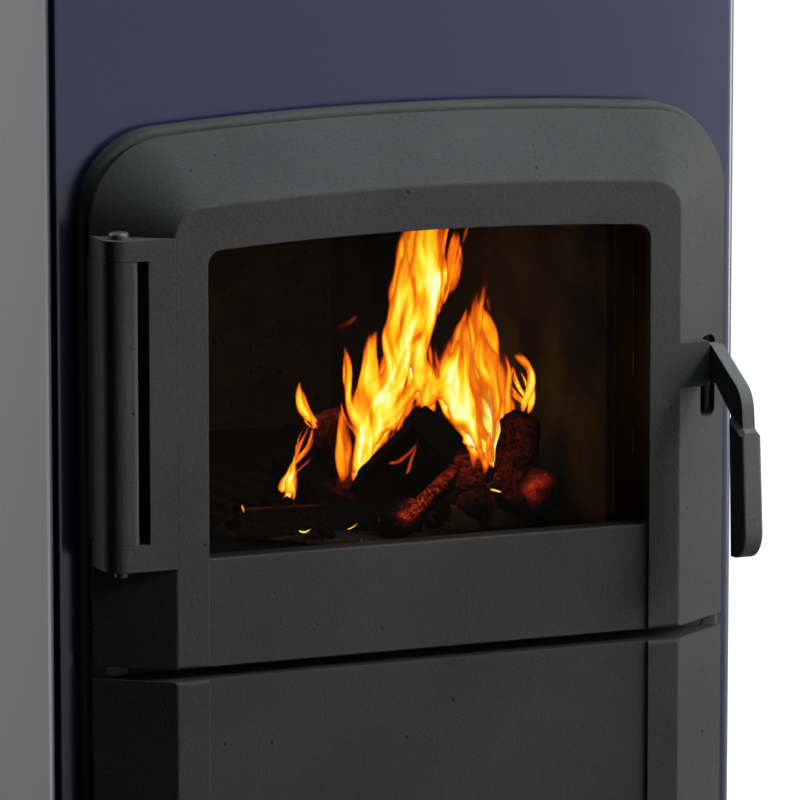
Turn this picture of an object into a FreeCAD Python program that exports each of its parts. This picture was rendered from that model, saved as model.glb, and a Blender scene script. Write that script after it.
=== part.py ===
"""Workshop stove: a free-standing solid-fuel stove with two cast doors in an enamelled casing.

X runs to the right, Y to the back and Z up, in millimetres. The origin is on the floor, under
the middle of the stove's outer box. Every piece is written to parts/ as a solid of its own.
"""

import FreeCAD, Part
import math
import os

V = FreeCAD.Vector
RIGHT = V(1, 0, 0)
BACK = V(0, 1, 0)
UP = V(0, 0, 1)

# Casing
body_width = 440.0
body_depth = 570.0
sheet = 1.5
casing_foot_z = 60.0
panel_fold = 10.0
panel_edge_r = 5.5
panel_border = 15.4
panel_foot = 35.0
panel_head = 130.4
rear_flange = 16.0
rear_air_gap = 73.5
vent_count = 9
vent_width = 8.0
vent_height = 70.0
vent_pitch = 30.0
vent_edge = 60.0
casing_screw_r = 2.5
casing_screw_head_r = 4.5
casing_screw_head = 2.5
casing_screw_length = 10.0
casing_screw_rows = 4
casing_screw_edge = 40.0
spacer_flange = 30.0
spacer_sheet = 3.0
spacer_edge = 90.0

# Top plate and flue collar
top_plate_thickness = 18.0
top_plate_wall = 8.0
top_plate_overhang = 2.0
top_plate_edge_r = 6.0
flue_r = 74.5
flue_wall = 6.0
flue_spigot = 60.0
flue_flange_r = 104.0
flue_flange = 8.0
flue_set_back = 170.0
flue_clearance = 0.5
flue_screw_count = 4
flue_screw_circle_r = 90.0
flue_screw_r = 3.0
flue_screw_head_r = 5.0
flue_screw_head = 4.0
flue_screw_length = 14.0

# Base
foot_pad_r = 18.0
foot_pad = 12.0
foot_stud_r = 5.0
foot_stud = 20.0
base_wall = 3.0
base_gusset = 60.0
base_gusset_thickness = 4.0

# Welded firebox and its lining
shell_plate = 5.0
shell_flange_margin = 5.0
shell_set_back = 14.0
roof_gap = 15.0
brick = 30.0
brick_show = 4.0
brick_joint = 1.0
brick_lower_height = 181.0
lining_head = 7.0
bed_thickness = 16.0
bed_drop = 3.0
bed_rail_width = 20.0
bed_rail_height = 10.0
grate_width = 199.0
grate_depth = 259.0
grate_thickness = 10.0
grate_ledge = 10.0
grate_set_back = 95.0
grate_slots = 9
grate_slot_width = 9.0
grate_slot_margin = 18.0
grate_clearance = 0.5
baffle_thickness = 25.0
baffle_throat = 135.0

# Ash pan
pan_sheet = 1.5
pan_side_gap = 14.0
pan_height = 100.0
pan_front_gap = 26.0
pan_rear_gap = 40.0
pan_grip_height = 60.0
pan_grip_r = 4.0
pan_grip_width = 110.0
pan_grip_reach = 24.0
floor_lip = 1.0

# Doors
fire_door_height = 316.0
ash_door_height = 255.0
door_gap = 7.5
door_wall = 8.0
bevel_width = 41.8
bevel_rise = 39.5
bevel_depth = 30.8
rim_edge = 2.0
rim_land = 11.0
door_corner_r = 49.0
face_corner_r = 18.0
arch_r = 2000.0
stile = 20.0
recess_depth = 2.0
face_edge_r = 2.5
fine_edge_r = 1.5
door_rim_gap = 3.5

# Window of the upper door
window_sill = 63.4
head_rail = 26.1
window_corner_r = 9.0
window_foot_r = 3.0
window_rib = 8.0
window_depth = 20.0
glass_lap = 7.5
glass_thickness = 4.0
gasket_thickness = 2.0
gasket_width = 5.5
clip_rows = 3
clip_height = 14.0
clip_thickness = 2.0
clip_bite = 6.0
clip_screw_r = 2.0
clip_screw_head_r = 3.6
clip_screw_head = 2.6
clip_screw_length = 14.0

# Rope seals
seal_ring_inset = 25.1
seal_ring_wall = 5.0
seal_inner_wall = 4.0
seal_width = 10.0
seal_side_gap = 0.2
seal_depth = 6.7

# Cast frame behind the doors
frame_stand_off = 14.7
frame_margin = 1.8
frame_crown_margin = 4.0
frame_plate = 8.0
frame_skirt = 8.0
frame_edge_r = 4.0
frame_seat = 4.0
opening_inset = 55.5
opening_foot = 46.0
opening_corner_r = 12.0
collar_wall = 6.0
bolt_r = 4.0
bolt_head_r = 7.0
bolt_head = 4.5
bolt_boss_r = 10.0
bolt_inset = 17.0
bolt_foot = 32.0
bolt_crown = 44.0
nut_thickness = 6.5
nut_across_corners = 15.0

# Hinges
hinge_r = 11.0
hinge_pin_r = 4.0
hinge_fit = 0.05
hinge_end_gap = 0.2
barrel_width = 19.4
barrel_edge_r = 4.0
ear_lower = 15.8
ear_upper = 12.4
pin_head_r = 6.0
pin_head = 4.0
pin_tail = 4.0
fire_hinge_foot = 59.8
fire_barrel = 166.4
ash_hinge_foot = 48.0
ash_barrel = 78.0

# Latch handles
fire_pivot_height = 159.2
ash_pivot_height = 118.0
pivot_depth = 9.0
pivot_r = 3.5
pivot_fit = 0.05
pivot_head_r = 6.0
pivot_head = 2.5
pivot_bite = 14.0
boss_width = 20.0
boss_height = 27.0
lever_thickness = 8.0
lever_gap = 0.3
lever_eye_r = 11.0
handle_reach = 55.0
knee_set_back = 13.0
knee_drop = 12.2
knee_r = 18.0
grip_overlap = 3.0
grip_thickness = 13.0
grip_edge_r = 2.0
grip_foot_r = 17.0
grip_width = 21.0
grip_shoulder_width = 18.4
grip_lean = 6.0
grip_shoulder = 34.5
grip_shoulder_rise = 8.0
grip_drop = 111.6
hook_reach = 43.0
hook_nose = 8.0
hook_height = 10.5
hook_rise = 3.2
latch_slot_width = 13.7
latch_slot_above = 14.0
latch_slot_below = 35.9
latch_slot_r = 5.0
pocket_depth = 18.0
pocket_wall = 4.0
pocket_side_gap = 2.0
pocket_far_gap = 4.0
latch_bar_r = 3.0
latch_bar_set_back = 4.7
latch_bar_rise = 6.0
latch_gap = 0.3

# Air slide and heat shield of the lower door
air_slots = 5
air_slot_width = 12.0
air_slot_height = 30.0
air_slot_pitch = 30.0
air_slide_height = 46.0
air_slide_thickness = 2.5
air_slide_margin = 18.0
air_slide_foot = 18.0
air_slide_travel = 15.0
air_guide_base = 5.0
air_guide_lip = 3.0
air_guide_sheet = 1.5
air_guide_fit = 0.3
air_rivet_r = 1.8
air_rivet_head_r = 2.4
air_rivet_head = 1.2
knob_r = 8.0
knob_neck_r = 4.0
knob_neck = 5.0
knob_length = 13.0
shield_thickness = 3.0
shield_margin = 6.0
shield_stand_off = 12.0
shield_post_r = 6.0
shield_screw_r = 2.5
shield_screw_head_r = 4.5
shield_screw_head = 3.0
shield_screw_length = 12.0
shield_post_inset = 22.0

# Cutters run past what they cut by this much
cut_over = 1.0

# Planes and edges that several pieces share
half_width = body_width / 2
front_reach = frame_stand_off + door_rim_gap + bevel_depth + handle_reach
panel_y = (front_reach - body_depth - casing_screw_head) / 2
rear_y = panel_y + body_depth
frame_y = panel_y - frame_stand_off
rim_y = frame_y - door_rim_gap
door_y = rim_y - bevel_depth
shell_front_y = panel_y + shell_set_back
box_front = shell_front_y + shell_plate
shell_rear_y = rear_y - sheet - rear_air_gap

frame_half = half_width - panel_border
door_half = frame_half - frame_margin
face_half = door_half - bevel_width
window_half = face_half - stile
opening_half = door_half - opening_inset
brick_half = opening_half - brick_show
shell_inner = brick_half + brick
shell_half = shell_inner + shell_plate
casing_inner = half_width - sheet

ash_door_z = casing_foot_z + panel_foot
ash_door_top = ash_door_z + ash_door_height
fire_door_z = ash_door_top + door_gap
fire_door_top = fire_door_z + fire_door_height
casing_top_z = fire_door_top + panel_head
fire_mouth_z = fire_door_z + opening_foot
ash_mouth_z = ash_door_z + opening_inset
ash_mouth_top = ash_door_top - opening_foot
floor_top = ash_mouth_z + floor_lip
floor_z = floor_top - shell_plate
roof_top = casing_top_z - roof_gap
bed_top = fire_mouth_z - bed_drop
brick_mid_z = bed_top + brick_lower_height
brick_top = fire_door_top + lining_head
brick_rear_y = shell_rear_y - shell_plate - brick
flue_y = rear_y - flue_set_back

window_z = fire_door_z + window_sill
window_top = fire_door_top - bevel_rise - head_rail
glass_y = door_y + window_depth + gasket_thickness
clip_y = glass_y + glass_thickness
groove_outer = seal_ring_inset + seal_ring_wall
groove_inner = groove_outer + seal_width + 2 * seal_side_gap
ring_inner = groove_inner + seal_inner_wall
bevel_run = bevel_depth - rim_edge

pin_x = hinge_r - door_half
pin_y = door_y + hinge_r
pivot_y = door_y + pivot_depth
boss_end = face_half + boss_width
lever_x = boss_end + lever_gap
latch_bar_y = frame_y + latch_bar_set_back


def block(x0, x1, y0, y1, z0, z1):
    """Box between two opposite corners."""
    return Part.makeBox(x1 - x0, y1 - y0, z1 - z0, V(x0, y0, z0))


def rod(radius, start, direction, length):
    """Round bar from a point along a direction."""
    return Part.makeCylinder(radius, length, start, direction)


def fuse(first, *others):
    """One solid from pieces that share material."""
    return first.multiFuse(list(others)).removeSplitter()


def cut(body, *tools):
    """The body less each tool."""
    for tool in tools:
        body = body.cut(tool)
    return body


def arched_wire(y, half, foot_z, crown_z, corner_r, arch, foot_r=0.0):
    """Upright outline at depth y: straight foot and sides, arched crown, round corners."""
    arch_z = crown_z - arch
    corner_x = half - corner_r
    corner_z = arch_z + math.sqrt((arch - corner_r) ** 2 - corner_x ** 2)
    stretch = arch / (arch - corner_r)
    meet_x = corner_x * stretch
    meet_z = arch_z + (corner_z - arch_z) * stretch
    turn = math.atan2(corner_z - arch_z, corner_x) / 2
    mid_x = corner_x + corner_r * math.cos(turn)
    mid_z = corner_z + corner_r * math.sin(turn)
    left_foot = V(-half, y, foot_z + foot_r)
    right_foot = V(half, y, foot_z + foot_r)
    edges = [
        Part.LineSegment(left_foot, V(-half, y, corner_z)),
        Part.Arc(V(-half, y, corner_z), V(-mid_x, y, mid_z), V(-meet_x, y, meet_z)),
        Part.Arc(V(-meet_x, y, meet_z), V(0, y, crown_z), V(meet_x, y, meet_z)),
        Part.Arc(V(meet_x, y, meet_z), V(mid_x, y, mid_z), V(half, y, corner_z)),
        Part.LineSegment(V(half, y, corner_z), right_foot),
    ]
    if foot_r > 0:
        bow = foot_r * (1 - math.sqrt(0.5))
        inner = half - foot_r
        edges.append(Part.Arc(right_foot, V(half - bow, y, foot_z + bow), V(inner, y, foot_z)))
        edges.append(Part.LineSegment(V(inner, y, foot_z), V(-inner, y, foot_z)))
        edges.append(Part.Arc(V(-inner, y, foot_z), V(bow - half, y, foot_z + bow), left_foot))
    else:
        edges.append(Part.LineSegment(right_foot, left_foot))
    return Part.Wire([edge.toShape() for edge in edges])


def hanging_wire(y, half, head_z, sole_z, corner_r):
    """Upright outline at depth y: straight head and sides, round lower corners."""
    bow = corner_r * (1 - math.sqrt(0.5))
    turn_z = sole_z + corner_r
    inner = half - corner_r
    edges = [
        Part.LineSegment(V(-half, y, head_z), V(half, y, head_z)),
        Part.LineSegment(V(half, y, head_z), V(half, y, turn_z)),
        Part.Arc(V(half, y, turn_z), V(half - bow, y, sole_z + bow), V(inner, y, sole_z)),
        Part.LineSegment(V(inner, y, sole_z), V(-inner, y, sole_z)),
        Part.Arc(V(-inner, y, sole_z), V(bow - half, y, sole_z + bow), V(-half, y, turn_z)),
        Part.LineSegment(V(-half, y, turn_z), V(-half, y, head_z)),
    ]
    return Part.Wire([edge.toShape() for edge in edges])


def fire_wire(y, inset, crown_inset, foot_inset, corner_r):
    """Outline of the upper door, drawn in from its rim."""
    foot_z = fire_door_z + foot_inset
    crown_z = fire_door_top - crown_inset
    return arched_wire(y, door_half - inset, foot_z, crown_z, corner_r, arch_r - crown_inset)


def ash_wire(y, inset, sole_inset, head_inset, corner_r):
    """Outline of the lower door, drawn in from its rim."""
    return hanging_wire(y, door_half - inset, ash_door_top - head_inset, ash_door_z + sole_inset, corner_r)


def frame_wire(y, inset):
    """Outline of the cast frame round both doors, drawn in from its edge."""
    corner_r = door_corner_r + frame_margin - inset
    crown_z = fire_door_top + frame_crown_margin - inset
    foot_z = ash_door_z - frame_margin + inset
    return arched_wire(y, frame_half - inset, foot_z, crown_z, corner_r, arch_r - inset, corner_r)


def fire_mouth(y, grow):
    """Outline of the frame's upper opening, let out by grow."""
    crown_z = fire_door_top - opening_inset + grow
    corner_r = opening_corner_r + grow
    return arched_wire(y, opening_half + grow, fire_mouth_z - grow, crown_z, corner_r, arch_r, corner_r)


def ash_mouth(y, grow):
    """Outline of the frame's lower opening, let out by grow."""
    crown_z = ash_mouth_top + grow
    corner_r = opening_corner_r + grow
    return arched_wire(y, opening_half + grow, ash_mouth_z - grow, crown_z, corner_r, arch_r, corner_r)


def window_wire(y, grow):
    """Outline of the window, let out by grow."""
    corner_r = window_corner_r + grow
    foot_r = window_foot_r + grow
    return arched_wire(y, window_half + grow, window_z - grow, window_top + grow, corner_r, arch_r, foot_r)


def slab(wire, depth):
    """Plate of the outline's shape, running back from it."""
    return Part.Face(wire).extrude(BACK * depth)


def ring(outer, inner, depth):
    """Plate with a hole, running back from two outlines at one depth."""
    return slab(outer, depth).cut(slab(inner, depth))


def edges_at(shape, test):
    """Edges whose every corner and middle pass the test."""
    found = []
    for edge in shape.Edges:
        points = [vertex.Point for vertex in edge.Vertexes]
        points.append(edge.valueAt((edge.FirstParameter + edge.LastParameter) / 2))
        if all(test(point) for point in points):
            found.append(edge)
    return found


def near(a, b):
    """True where two lengths are the same."""
    return abs(a - b) < 0.01


def profile_x(points, x, width):
    """Plate across X from corners (y, z)."""
    corners = [V(x, y, z) for y, z in points]
    return Part.Face(Part.makePolygon(corners + corners[:1])).extrude(RIGHT * width)


def door_pan(wire, foot_wall):
    """Cast pan: flat face, bevels, rim, and the thick ring that carries the rope seal.

    wire(y, inset, far_inset, near_inset, corner_r) gives the door's outline. The far edge is
    bevelled like the sides, and the near edge, beside the other door, is upright.
    """
    bevel_y = rim_y - rim_edge
    face = wire(door_y, bevel_width, bevel_rise, 0, face_corner_r)
    outer = Part.makeLoft([face, wire(bevel_y, 0, 0, 0, door_corner_r)], True, True)
    outer = fuse(outer, slab(wire(bevel_y, 0, 0, 0, door_corner_r), rim_edge))
    front = edges_at(outer, lambda p: near(p.y, door_y))
    outer = outer.makeFillet(face_edge_r, front)
    run = bevel_depth - door_wall
    side = rim_land + run * bevel_width / bevel_run
    far = rim_land + run * bevel_rise / bevel_run
    wall_y = door_y + door_wall
    hollow = Part.makeLoft(
        [
            wire(wall_y, side, far, foot_wall, face_corner_r),
            wire(rim_y, rim_land, rim_land, foot_wall, door_corner_r - rim_land),
        ],
        True,
        True,
    )
    ring_y = wall_y - face_edge_r

    def inset_wire(y, inset):
        corner_r = max(door_corner_r - inset, fine_edge_r)
        return wire(y, inset, inset, inset, corner_r)

    carrier = ring(inset_wire(ring_y, seal_ring_inset), inset_wire(ring_y, ring_inner), rim_y - ring_y)
    groove_y = rim_y - seal_depth
    groove = ring(inset_wire(groove_y, groove_outer), inset_wire(groove_y, groove_inner), seal_depth)
    carrier = cut(carrier.common(outer), groove)
    pan = fuse(cut(outer, hollow), carrier)
    seal = ring(
        inset_wire(groove_y, groove_outer + seal_side_gap),
        inset_wire(groove_y, groove_inner - seal_side_gap),
        frame_y - groove_y,
    )
    return pan, seal


def hinge_block(foot_z, height):
    """Hinge block on a door: round about the pin at the left, flush with the door's face."""
    inner_x = seal_ring_inset + seal_ring_wall / 2 - door_half
    chord = hinge_r * math.sqrt(0.5)
    wall_y = door_y + door_wall
    edges = [
        Part.LineSegment(V(-door_half, rim_y, foot_z), V(-door_half, pin_y, foot_z)),
        Part.Arc(
            V(-door_half, pin_y, foot_z), V(pin_x - chord, pin_y - chord, foot_z), V(pin_x, door_y, foot_z)
        ),
        Part.LineSegment(V(pin_x, door_y, foot_z), V(-face_half, door_y, foot_z)),
        Part.LineSegment(V(-face_half, door_y, foot_z), V(-face_half, wall_y, foot_z)),
        Part.LineSegment(V(-face_half, wall_y, foot_z), V(inner_x, wall_y + face_edge_r, foot_z)),
        Part.LineSegment(V(inner_x, wall_y + face_edge_r, foot_z), V(inner_x, rim_y, foot_z)),
        Part.LineSegment(V(inner_x, rim_y, foot_z), V(-door_half, rim_y, foot_z)),
    ]
    return Part.Face(Part.Wire([edge.toShape() for edge in edges])).extrude(UP * height)


def add_hinge(door, door_z, hinge_foot, barrel):
    """Door with its hinge block, the notch in it for the frame's barrel, and the pin's holes."""
    barrel_z = door_z + hinge_foot + ear_lower
    barrel_top = barrel_z + barrel
    notch_x = seal_ring_inset - door_half
    ears = hinge_block(barrel_z - ear_lower, ear_lower + barrel + ear_upper)
    notch = block(-half_width, notch_x, door_y - cut_over, rim_y + cut_over, barrel_z, barrel_top)
    bore_z = barrel_z - ear_lower - cut_over
    bore_length = barrel_top + ear_upper + cut_over - bore_z
    bore = rod(hinge_pin_r + hinge_fit, V(pin_x, pin_y, bore_z), UP, bore_length)
    return cut(fuse(door, ears), notch, bore)


def hinge_barrel(door_z, hinge_foot, barrel):
    """Barrel cast on the frame, flush with the door's face, and the bore through it."""
    foot_z = door_z + hinge_foot + ear_lower + hinge_end_gap
    length = barrel - 2 * hinge_end_gap
    right_x = barrel_width - door_half
    root_y = frame_y + frame_plate / 2
    chord = hinge_r * math.sqrt(0.5)
    bow = barrel_edge_r * (1 - math.sqrt(0.5))
    edges = [
        Part.LineSegment(V(-door_half, root_y, foot_z), V(-door_half, pin_y, foot_z)),
        Part.Arc(
            V(-door_half, pin_y, foot_z), V(pin_x - chord, pin_y - chord, foot_z), V(pin_x, door_y, foot_z)
        ),
        Part.LineSegment(V(pin_x, door_y, foot_z), V(right_x - barrel_edge_r, door_y, foot_z)),
        Part.Arc(
            V(right_x - barrel_edge_r, door_y, foot_z),
            V(right_x - bow, door_y + bow, foot_z),
            V(right_x, door_y + barrel_edge_r, foot_z),
        ),
        Part.LineSegment(V(right_x, door_y + barrel_edge_r, foot_z), V(right_x, root_y, foot_z)),
        Part.LineSegment(V(right_x, root_y, foot_z), V(-door_half, root_y, foot_z)),
    ]
    solid = Part.Face(Part.Wire([edge.toShape() for edge in edges])).extrude(UP * length)
    bore = rod(hinge_pin_r + hinge_fit, V(pin_x, pin_y, foot_z - cut_over), UP, length + 2 * cut_over)
    return solid.cut(bore)


def hinge_pin(door_z, hinge_foot, barrel):
    """Loose pin dropped through both ears and the barrel, with a domed head."""
    foot_z = door_z + hinge_foot
    length = ear_lower + barrel + ear_upper
    shank = rod(hinge_pin_r, V(pin_x, pin_y, foot_z - pin_tail), UP, length + pin_tail)
    head = rod(pin_head_r, V(pin_x, pin_y, foot_z + length), UP, pin_head)
    head = head.makeFillet(pin_head / 2, edges_at(head, lambda p: near(p.z, foot_z + length + pin_head)))
    return fuse(shank, head)


def add_latch_boss(door, pivot_z):
    """Door with the boss that carries the handle, its pivot hole and the slot for the hook."""
    boss_y = door_y + (boss_end - face_half) * bevel_run / bevel_width + door_wall
    boss_z = pivot_z - boss_height / 2
    boss = block(face_half - stile / 4, boss_end, door_y, boss_y, boss_z, boss_z + boss_height)
    boss = boss.makeFillet(fine_edge_r, edges_at(boss, lambda p: near(p.x, boss_end)))
    slot_z = pivot_z - latch_slot_below
    slot_end = boss_end + latch_slot_width
    slot = block(boss_end, slot_end, door_y, rim_y + cut_over, slot_z, pivot_z + latch_slot_above)
    depth = rim_y + cut_over - door_y
    slot = slot.makeFillet(latch_slot_r, [edge for edge in slot.Edges if near(edge.Length, depth)])
    hole_x = boss_end - pivot_bite
    hole = rod(pivot_r + pivot_fit, V(hole_x, pivot_y, pivot_z), RIGHT, pivot_bite + cut_over)
    return cut(fuse(door, boss), slot, hole)


def pivot_pin(pivot_z):
    """Pin that the handle turns on, with its head outside the lever."""
    length = pivot_bite + 2 * lever_gap + lever_thickness
    shank = rod(pivot_r, V(boss_end - pivot_bite, pivot_y, pivot_z), RIGHT, length)
    head = rod(pivot_head_r, V(boss_end - pivot_bite + length, pivot_y, pivot_z), RIGHT, pivot_head)
    return fuse(shank, head)


def handle(pivot_z):
    """Latch handle: eye on the pivot, hook to the rear, bent arm and hanging grip to the front."""
    grip_front = door_y - handle_reach
    lean_front = grip_front + grip_lean
    shoulder_z = pivot_z - grip_shoulder
    shoulder_back_z = shoulder_z + grip_shoulder_rise
    foot_z = pivot_z - grip_drop
    nose_top = pivot_z + latch_bar_rise - latch_bar_r - latch_gap
    hook_top = nose_top - hook_rise
    tip_y = pivot_y + hook_reach
    eye = rod(lever_eye_r, V(lever_x, pivot_y, pivot_z), RIGHT, lever_thickness)
    hook = profile_x(
        [
            (pivot_y, hook_top),
            (tip_y - hook_nose, hook_top),
            (tip_y - hook_nose, nose_top),
            (tip_y, nose_top),
            (tip_y, hook_top - hook_height / 2),
            (tip_y - hook_nose, hook_top - hook_height),
            (pivot_y, hook_top - hook_height),
        ],
        lever_x,
        lever_thickness,
    )
    knee_y = grip_front + knee_set_back
    knee_z = pivot_z - knee_drop
    arm = profile_x(
        [
            (pivot_y, pivot_z + lever_eye_r),
            (door_y, pivot_z + lever_eye_r),
            (knee_y, knee_z),
            (lean_front + grip_edge_r, shoulder_z - knee_r),
            (lean_front + grip_shoulder_width - grip_edge_r, shoulder_z - knee_r),
            (lean_front + grip_shoulder_width + grip_overlap, shoulder_back_z),
            (door_y - grip_lean, pivot_z - lever_eye_r),
            (pivot_y, pivot_z - lever_eye_r),
        ],
        lever_x,
        lever_thickness,
    )
    arm = arm.makeFillet(knee_r, edges_at(arm, lambda p: near(p.y, knee_y) and near(p.z, knee_z)))
    grip_x = lever_x - grip_overlap
    grip = profile_x(
        [
            (lean_front, shoulder_z),
            (grip_front, foot_z),
            (grip_front + grip_width, foot_z),
            (lean_front + grip_shoulder_width, shoulder_back_z),
        ],
        grip_x,
        grip_thickness,
    )
    foot = edges_at(grip, lambda p: near(p.y, grip_front) and near(p.z, foot_z))
    grip = grip.makeFillet(grip_foot_r, foot)
    high = edges_at(grip, lambda p: p.z > shoulder_z - fine_edge_r)
    grip = grip.makeChamfer(grip_overlap - lever_gap, [edge for edge in high if not across(edge)])
    low = edges_at(grip, lambda p: p.z < shoulder_back_z - fine_edge_r)
    sides = [edge for edge in low if not across(edge) and edge.BoundBox.ZMin < shoulder_z - knee_r]
    grip = grip.makeFillet(grip_edge_r, sides)
    hole_start = V(lever_x - cut_over, pivot_y, pivot_z)
    eye_hole = rod(pivot_r + pivot_fit, hole_start, RIGHT, lever_thickness + 2 * cut_over)
    return cut(fuse(eye, hook, arm, grip), eye_hole)


def across(edge):
    """True for an edge that runs along X."""
    return near(edge.BoundBox.XLength, edge.Length)


def pocket_box(pivot_z, grow):
    """Space of the frame's latch pocket, let out by grow at its sides and rear."""
    left = lever_x - pocket_side_gap - grow
    right = lever_x + lever_thickness + pocket_far_gap + grow
    foot_z = pivot_z - latch_slot_below - grow
    top_z = pivot_z + latch_slot_above + grow
    return block(left, right, frame_y, frame_y + pocket_depth + grow, foot_z, top_z)


def latch_bar(pivot_z):
    """Bar across the frame's pocket that the hook holds behind."""
    left = lever_x - pocket_side_gap - pocket_wall / 2
    length = lever_thickness + pocket_side_gap + pocket_far_gap + pocket_wall
    return rod(latch_bar_r, V(left, latch_bar_y, pivot_z + latch_bar_rise), RIGHT, length)


fire_pivot_z = fire_door_z + fire_pivot_height
ash_pivot_z = ash_door_z + ash_pivot_height
pivots = [fire_pivot_z, ash_pivot_z]
bolt_x = door_half - bolt_inset
bolt_rows = [ash_door_z + bolt_foot, fire_door_z - door_gap / 2, fire_door_top - bolt_crown]
bolt_places = [(x, z) for x in (-bolt_x, bolt_x) for z in bolt_rows]


def door_frame():
    """Cast frame: face plate with two openings, skirt, collars, pockets, bolt bosses and barrels."""
    body = slab(frame_wire(frame_y, 0), frame_stand_off)
    body = body.makeFillet(frame_edge_r, edges_at(body, lambda p: near(p.y, frame_y)))
    back_y = frame_y + frame_plate
    body = body.cut(slab(frame_wire(back_y, frame_skirt), frame_stand_off))
    collar_depth = shell_front_y - back_y
    adds = [
        slab(fire_mouth(back_y, collar_wall), collar_depth),
        slab(ash_mouth(back_y, collar_wall), collar_depth),
    ]
    adds += [pocket_box(pivot_z, pocket_wall) for pivot_z in pivots]
    adds += [rod(bolt_boss_r, V(x, back_y, z), BACK, collar_depth) for x, z in bolt_places]
    adds.append(hinge_barrel(fire_door_z, fire_hinge_foot, fire_barrel))
    adds.append(hinge_barrel(ash_door_z, ash_hinge_foot, ash_barrel))
    body = fuse(body, *adds)
    depth = shell_front_y - frame_y
    body = cut(body, slab(fire_mouth(frame_y, 0), depth), slab(ash_mouth(frame_y, 0), depth))
    body = cut(body, *[pocket_box(pivot_z, 0) for pivot_z in pivots])
    body = cut(body, *[latch_bar(pivot_z) for pivot_z in pivots])
    for x, z in bolt_places:
        head = rod(bolt_head_r + lever_gap, V(x, frame_y, z), BACK, bolt_head + lever_gap)
        body = cut(body, head, rod(bolt_r + hinge_fit, V(x, frame_y, z), BACK, depth))
    return body


def frame_bolt(x, z):
    """Flush-headed bolt from the frame's face through the firebox front."""
    start_y = frame_y + lever_gap
    length = shell_front_y + shell_plate + nut_thickness - start_y
    shank = rod(bolt_r, V(x, start_y, z), BACK, length)
    return fuse(shank, rod(bolt_head_r, V(x, start_y, z), BACK, bolt_head))


def frame_nut(x, z):
    """Six-sided nut behind the firebox front."""
    y = shell_front_y + shell_plate
    r = nut_across_corners / 2
    turns = [math.pi / 3 * k for k in range(6)]
    corners = [V(x + r * math.cos(t), y, z + r * math.sin(t)) for t in turns]
    nut = Part.Face(Part.makePolygon(corners + corners[:1])).extrude(BACK * nut_thickness)
    return nut.cut(rod(bolt_r + hinge_fit, V(x, y, z), BACK, nut_thickness))


def fire_door():
    """Upper door with its window, clip bosses, hinge ears and latch boss, and its rope seal."""
    pan, seal = door_pan(fire_wire, door_wall)
    rib_y = door_y + door_wall - face_edge_r
    rib = slab(window_wire(rib_y, window_rib), window_depth - door_wall + face_edge_r)
    clip_bosses = [
        block(min(a, b), max(a, b), rib_y, clip_y, z - clip_height / 2, z + clip_height / 2)
        for a, b, z in clip_spans()
    ]
    door = fuse(pan, rib, *clip_bosses)
    recess_top = window_z + window_rib
    recess = block(-window_half, window_half, door_y, door_y + recess_depth, fire_door_z, recess_top)
    aperture = slab(window_wire(door_y, 0), bevel_depth)
    glass_bed = slab(window_wire(door_y + window_depth, glass_lap + latch_gap), bevel_depth)
    door = cut(door, recess, aperture, glass_bed)
    door = add_hinge(door, fire_door_z, fire_hinge_foot, fire_barrel)
    door = add_latch_boss(door, fire_pivot_z)
    holes = [
        rod(clip_screw_r + pivot_fit, V(x, clip_y - clip_screw_length, z), BACK, clip_screw_length)
        for x, z in clip_places()
    ]
    return cut(door, *holes), seal


def window_gasket():
    """Flat gasket between the glass and the door's ledge."""
    y = door_y + window_depth
    return ring(window_wire(y, glass_lap), window_wire(y, glass_lap - gasket_width), gasket_thickness)


def clip_spans():
    """Inner and outer X of each clip boss, with its height."""
    inner = window_half + glass_lap
    outer = door_half - ring_inner + seal_inner_wall / 2
    step = (window_top - window_z) / (clip_rows + 1)
    rows = [window_z + step * (k + 1) for k in range(clip_rows)]
    return [(side * inner, side * outer, z) for side in (-1, 1) for z in rows]


def clip_places():
    """X and Z of each clip screw, in the middle of the free strip beside the glass."""
    middle = (window_half + glass_lap + latch_gap + door_half - ring_inner) / 2
    return [(math.copysign(middle, a), z) for a, b, z in clip_spans()]


def glass_clip(x, z):
    """Small plate that holds the glass against its gasket."""
    side = math.copysign(1, x)
    a = side * (window_half + glass_lap - clip_bite)
    b = side * (door_half - ring_inner - latch_gap)
    h = clip_height / 2
    plate = block(min(a, b), max(a, b), clip_y, clip_y + clip_thickness, z - h, z + h)
    return plate.cut(rod(clip_screw_r + pivot_fit, V(x, clip_y, z), BACK, clip_thickness))


def clip_screw(x, z):
    """Screw through a glass clip into the door."""
    sizes = (clip_screw_r, clip_screw_length, clip_screw_head_r, clip_screw_head)
    return screw(x, clip_y + clip_thickness, z, BACK * -1, *sizes)


def shield_screw(x, z):
    """Screw through the heat shield into its post."""
    sizes = (shield_screw_r, shield_screw_length, shield_screw_head_r, shield_screw_head)
    return screw(x, shield_y + shield_thickness, z, BACK * -1, *sizes)


def casing_screw(x, z):
    """Screw through the rear panel into a side flange."""
    sizes = (casing_screw_r, casing_screw_length, casing_screw_head_r, casing_screw_head)
    return screw(x, rear_y, z, BACK * -1, *sizes)


def flue_screw(x, y):
    """Screw through the flue collar's flange into the top plate."""
    z = casing_top_z + top_plate_thickness + flue_flange
    sizes = (flue_screw_r, flue_screw_length, flue_screw_head_r, flue_screw_head)
    return screw(x, y, z, UP * -1, *sizes)


def screw(x, y, z, direction, radius, length, head_r, head):
    """Plain screw: the head's underside is at the given point, the shank runs along direction."""
    shank = rod(radius, V(x, y, z), direction, length)
    return fuse(shank, rod(head_r, V(x, y, z), direction * -1, head))


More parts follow.
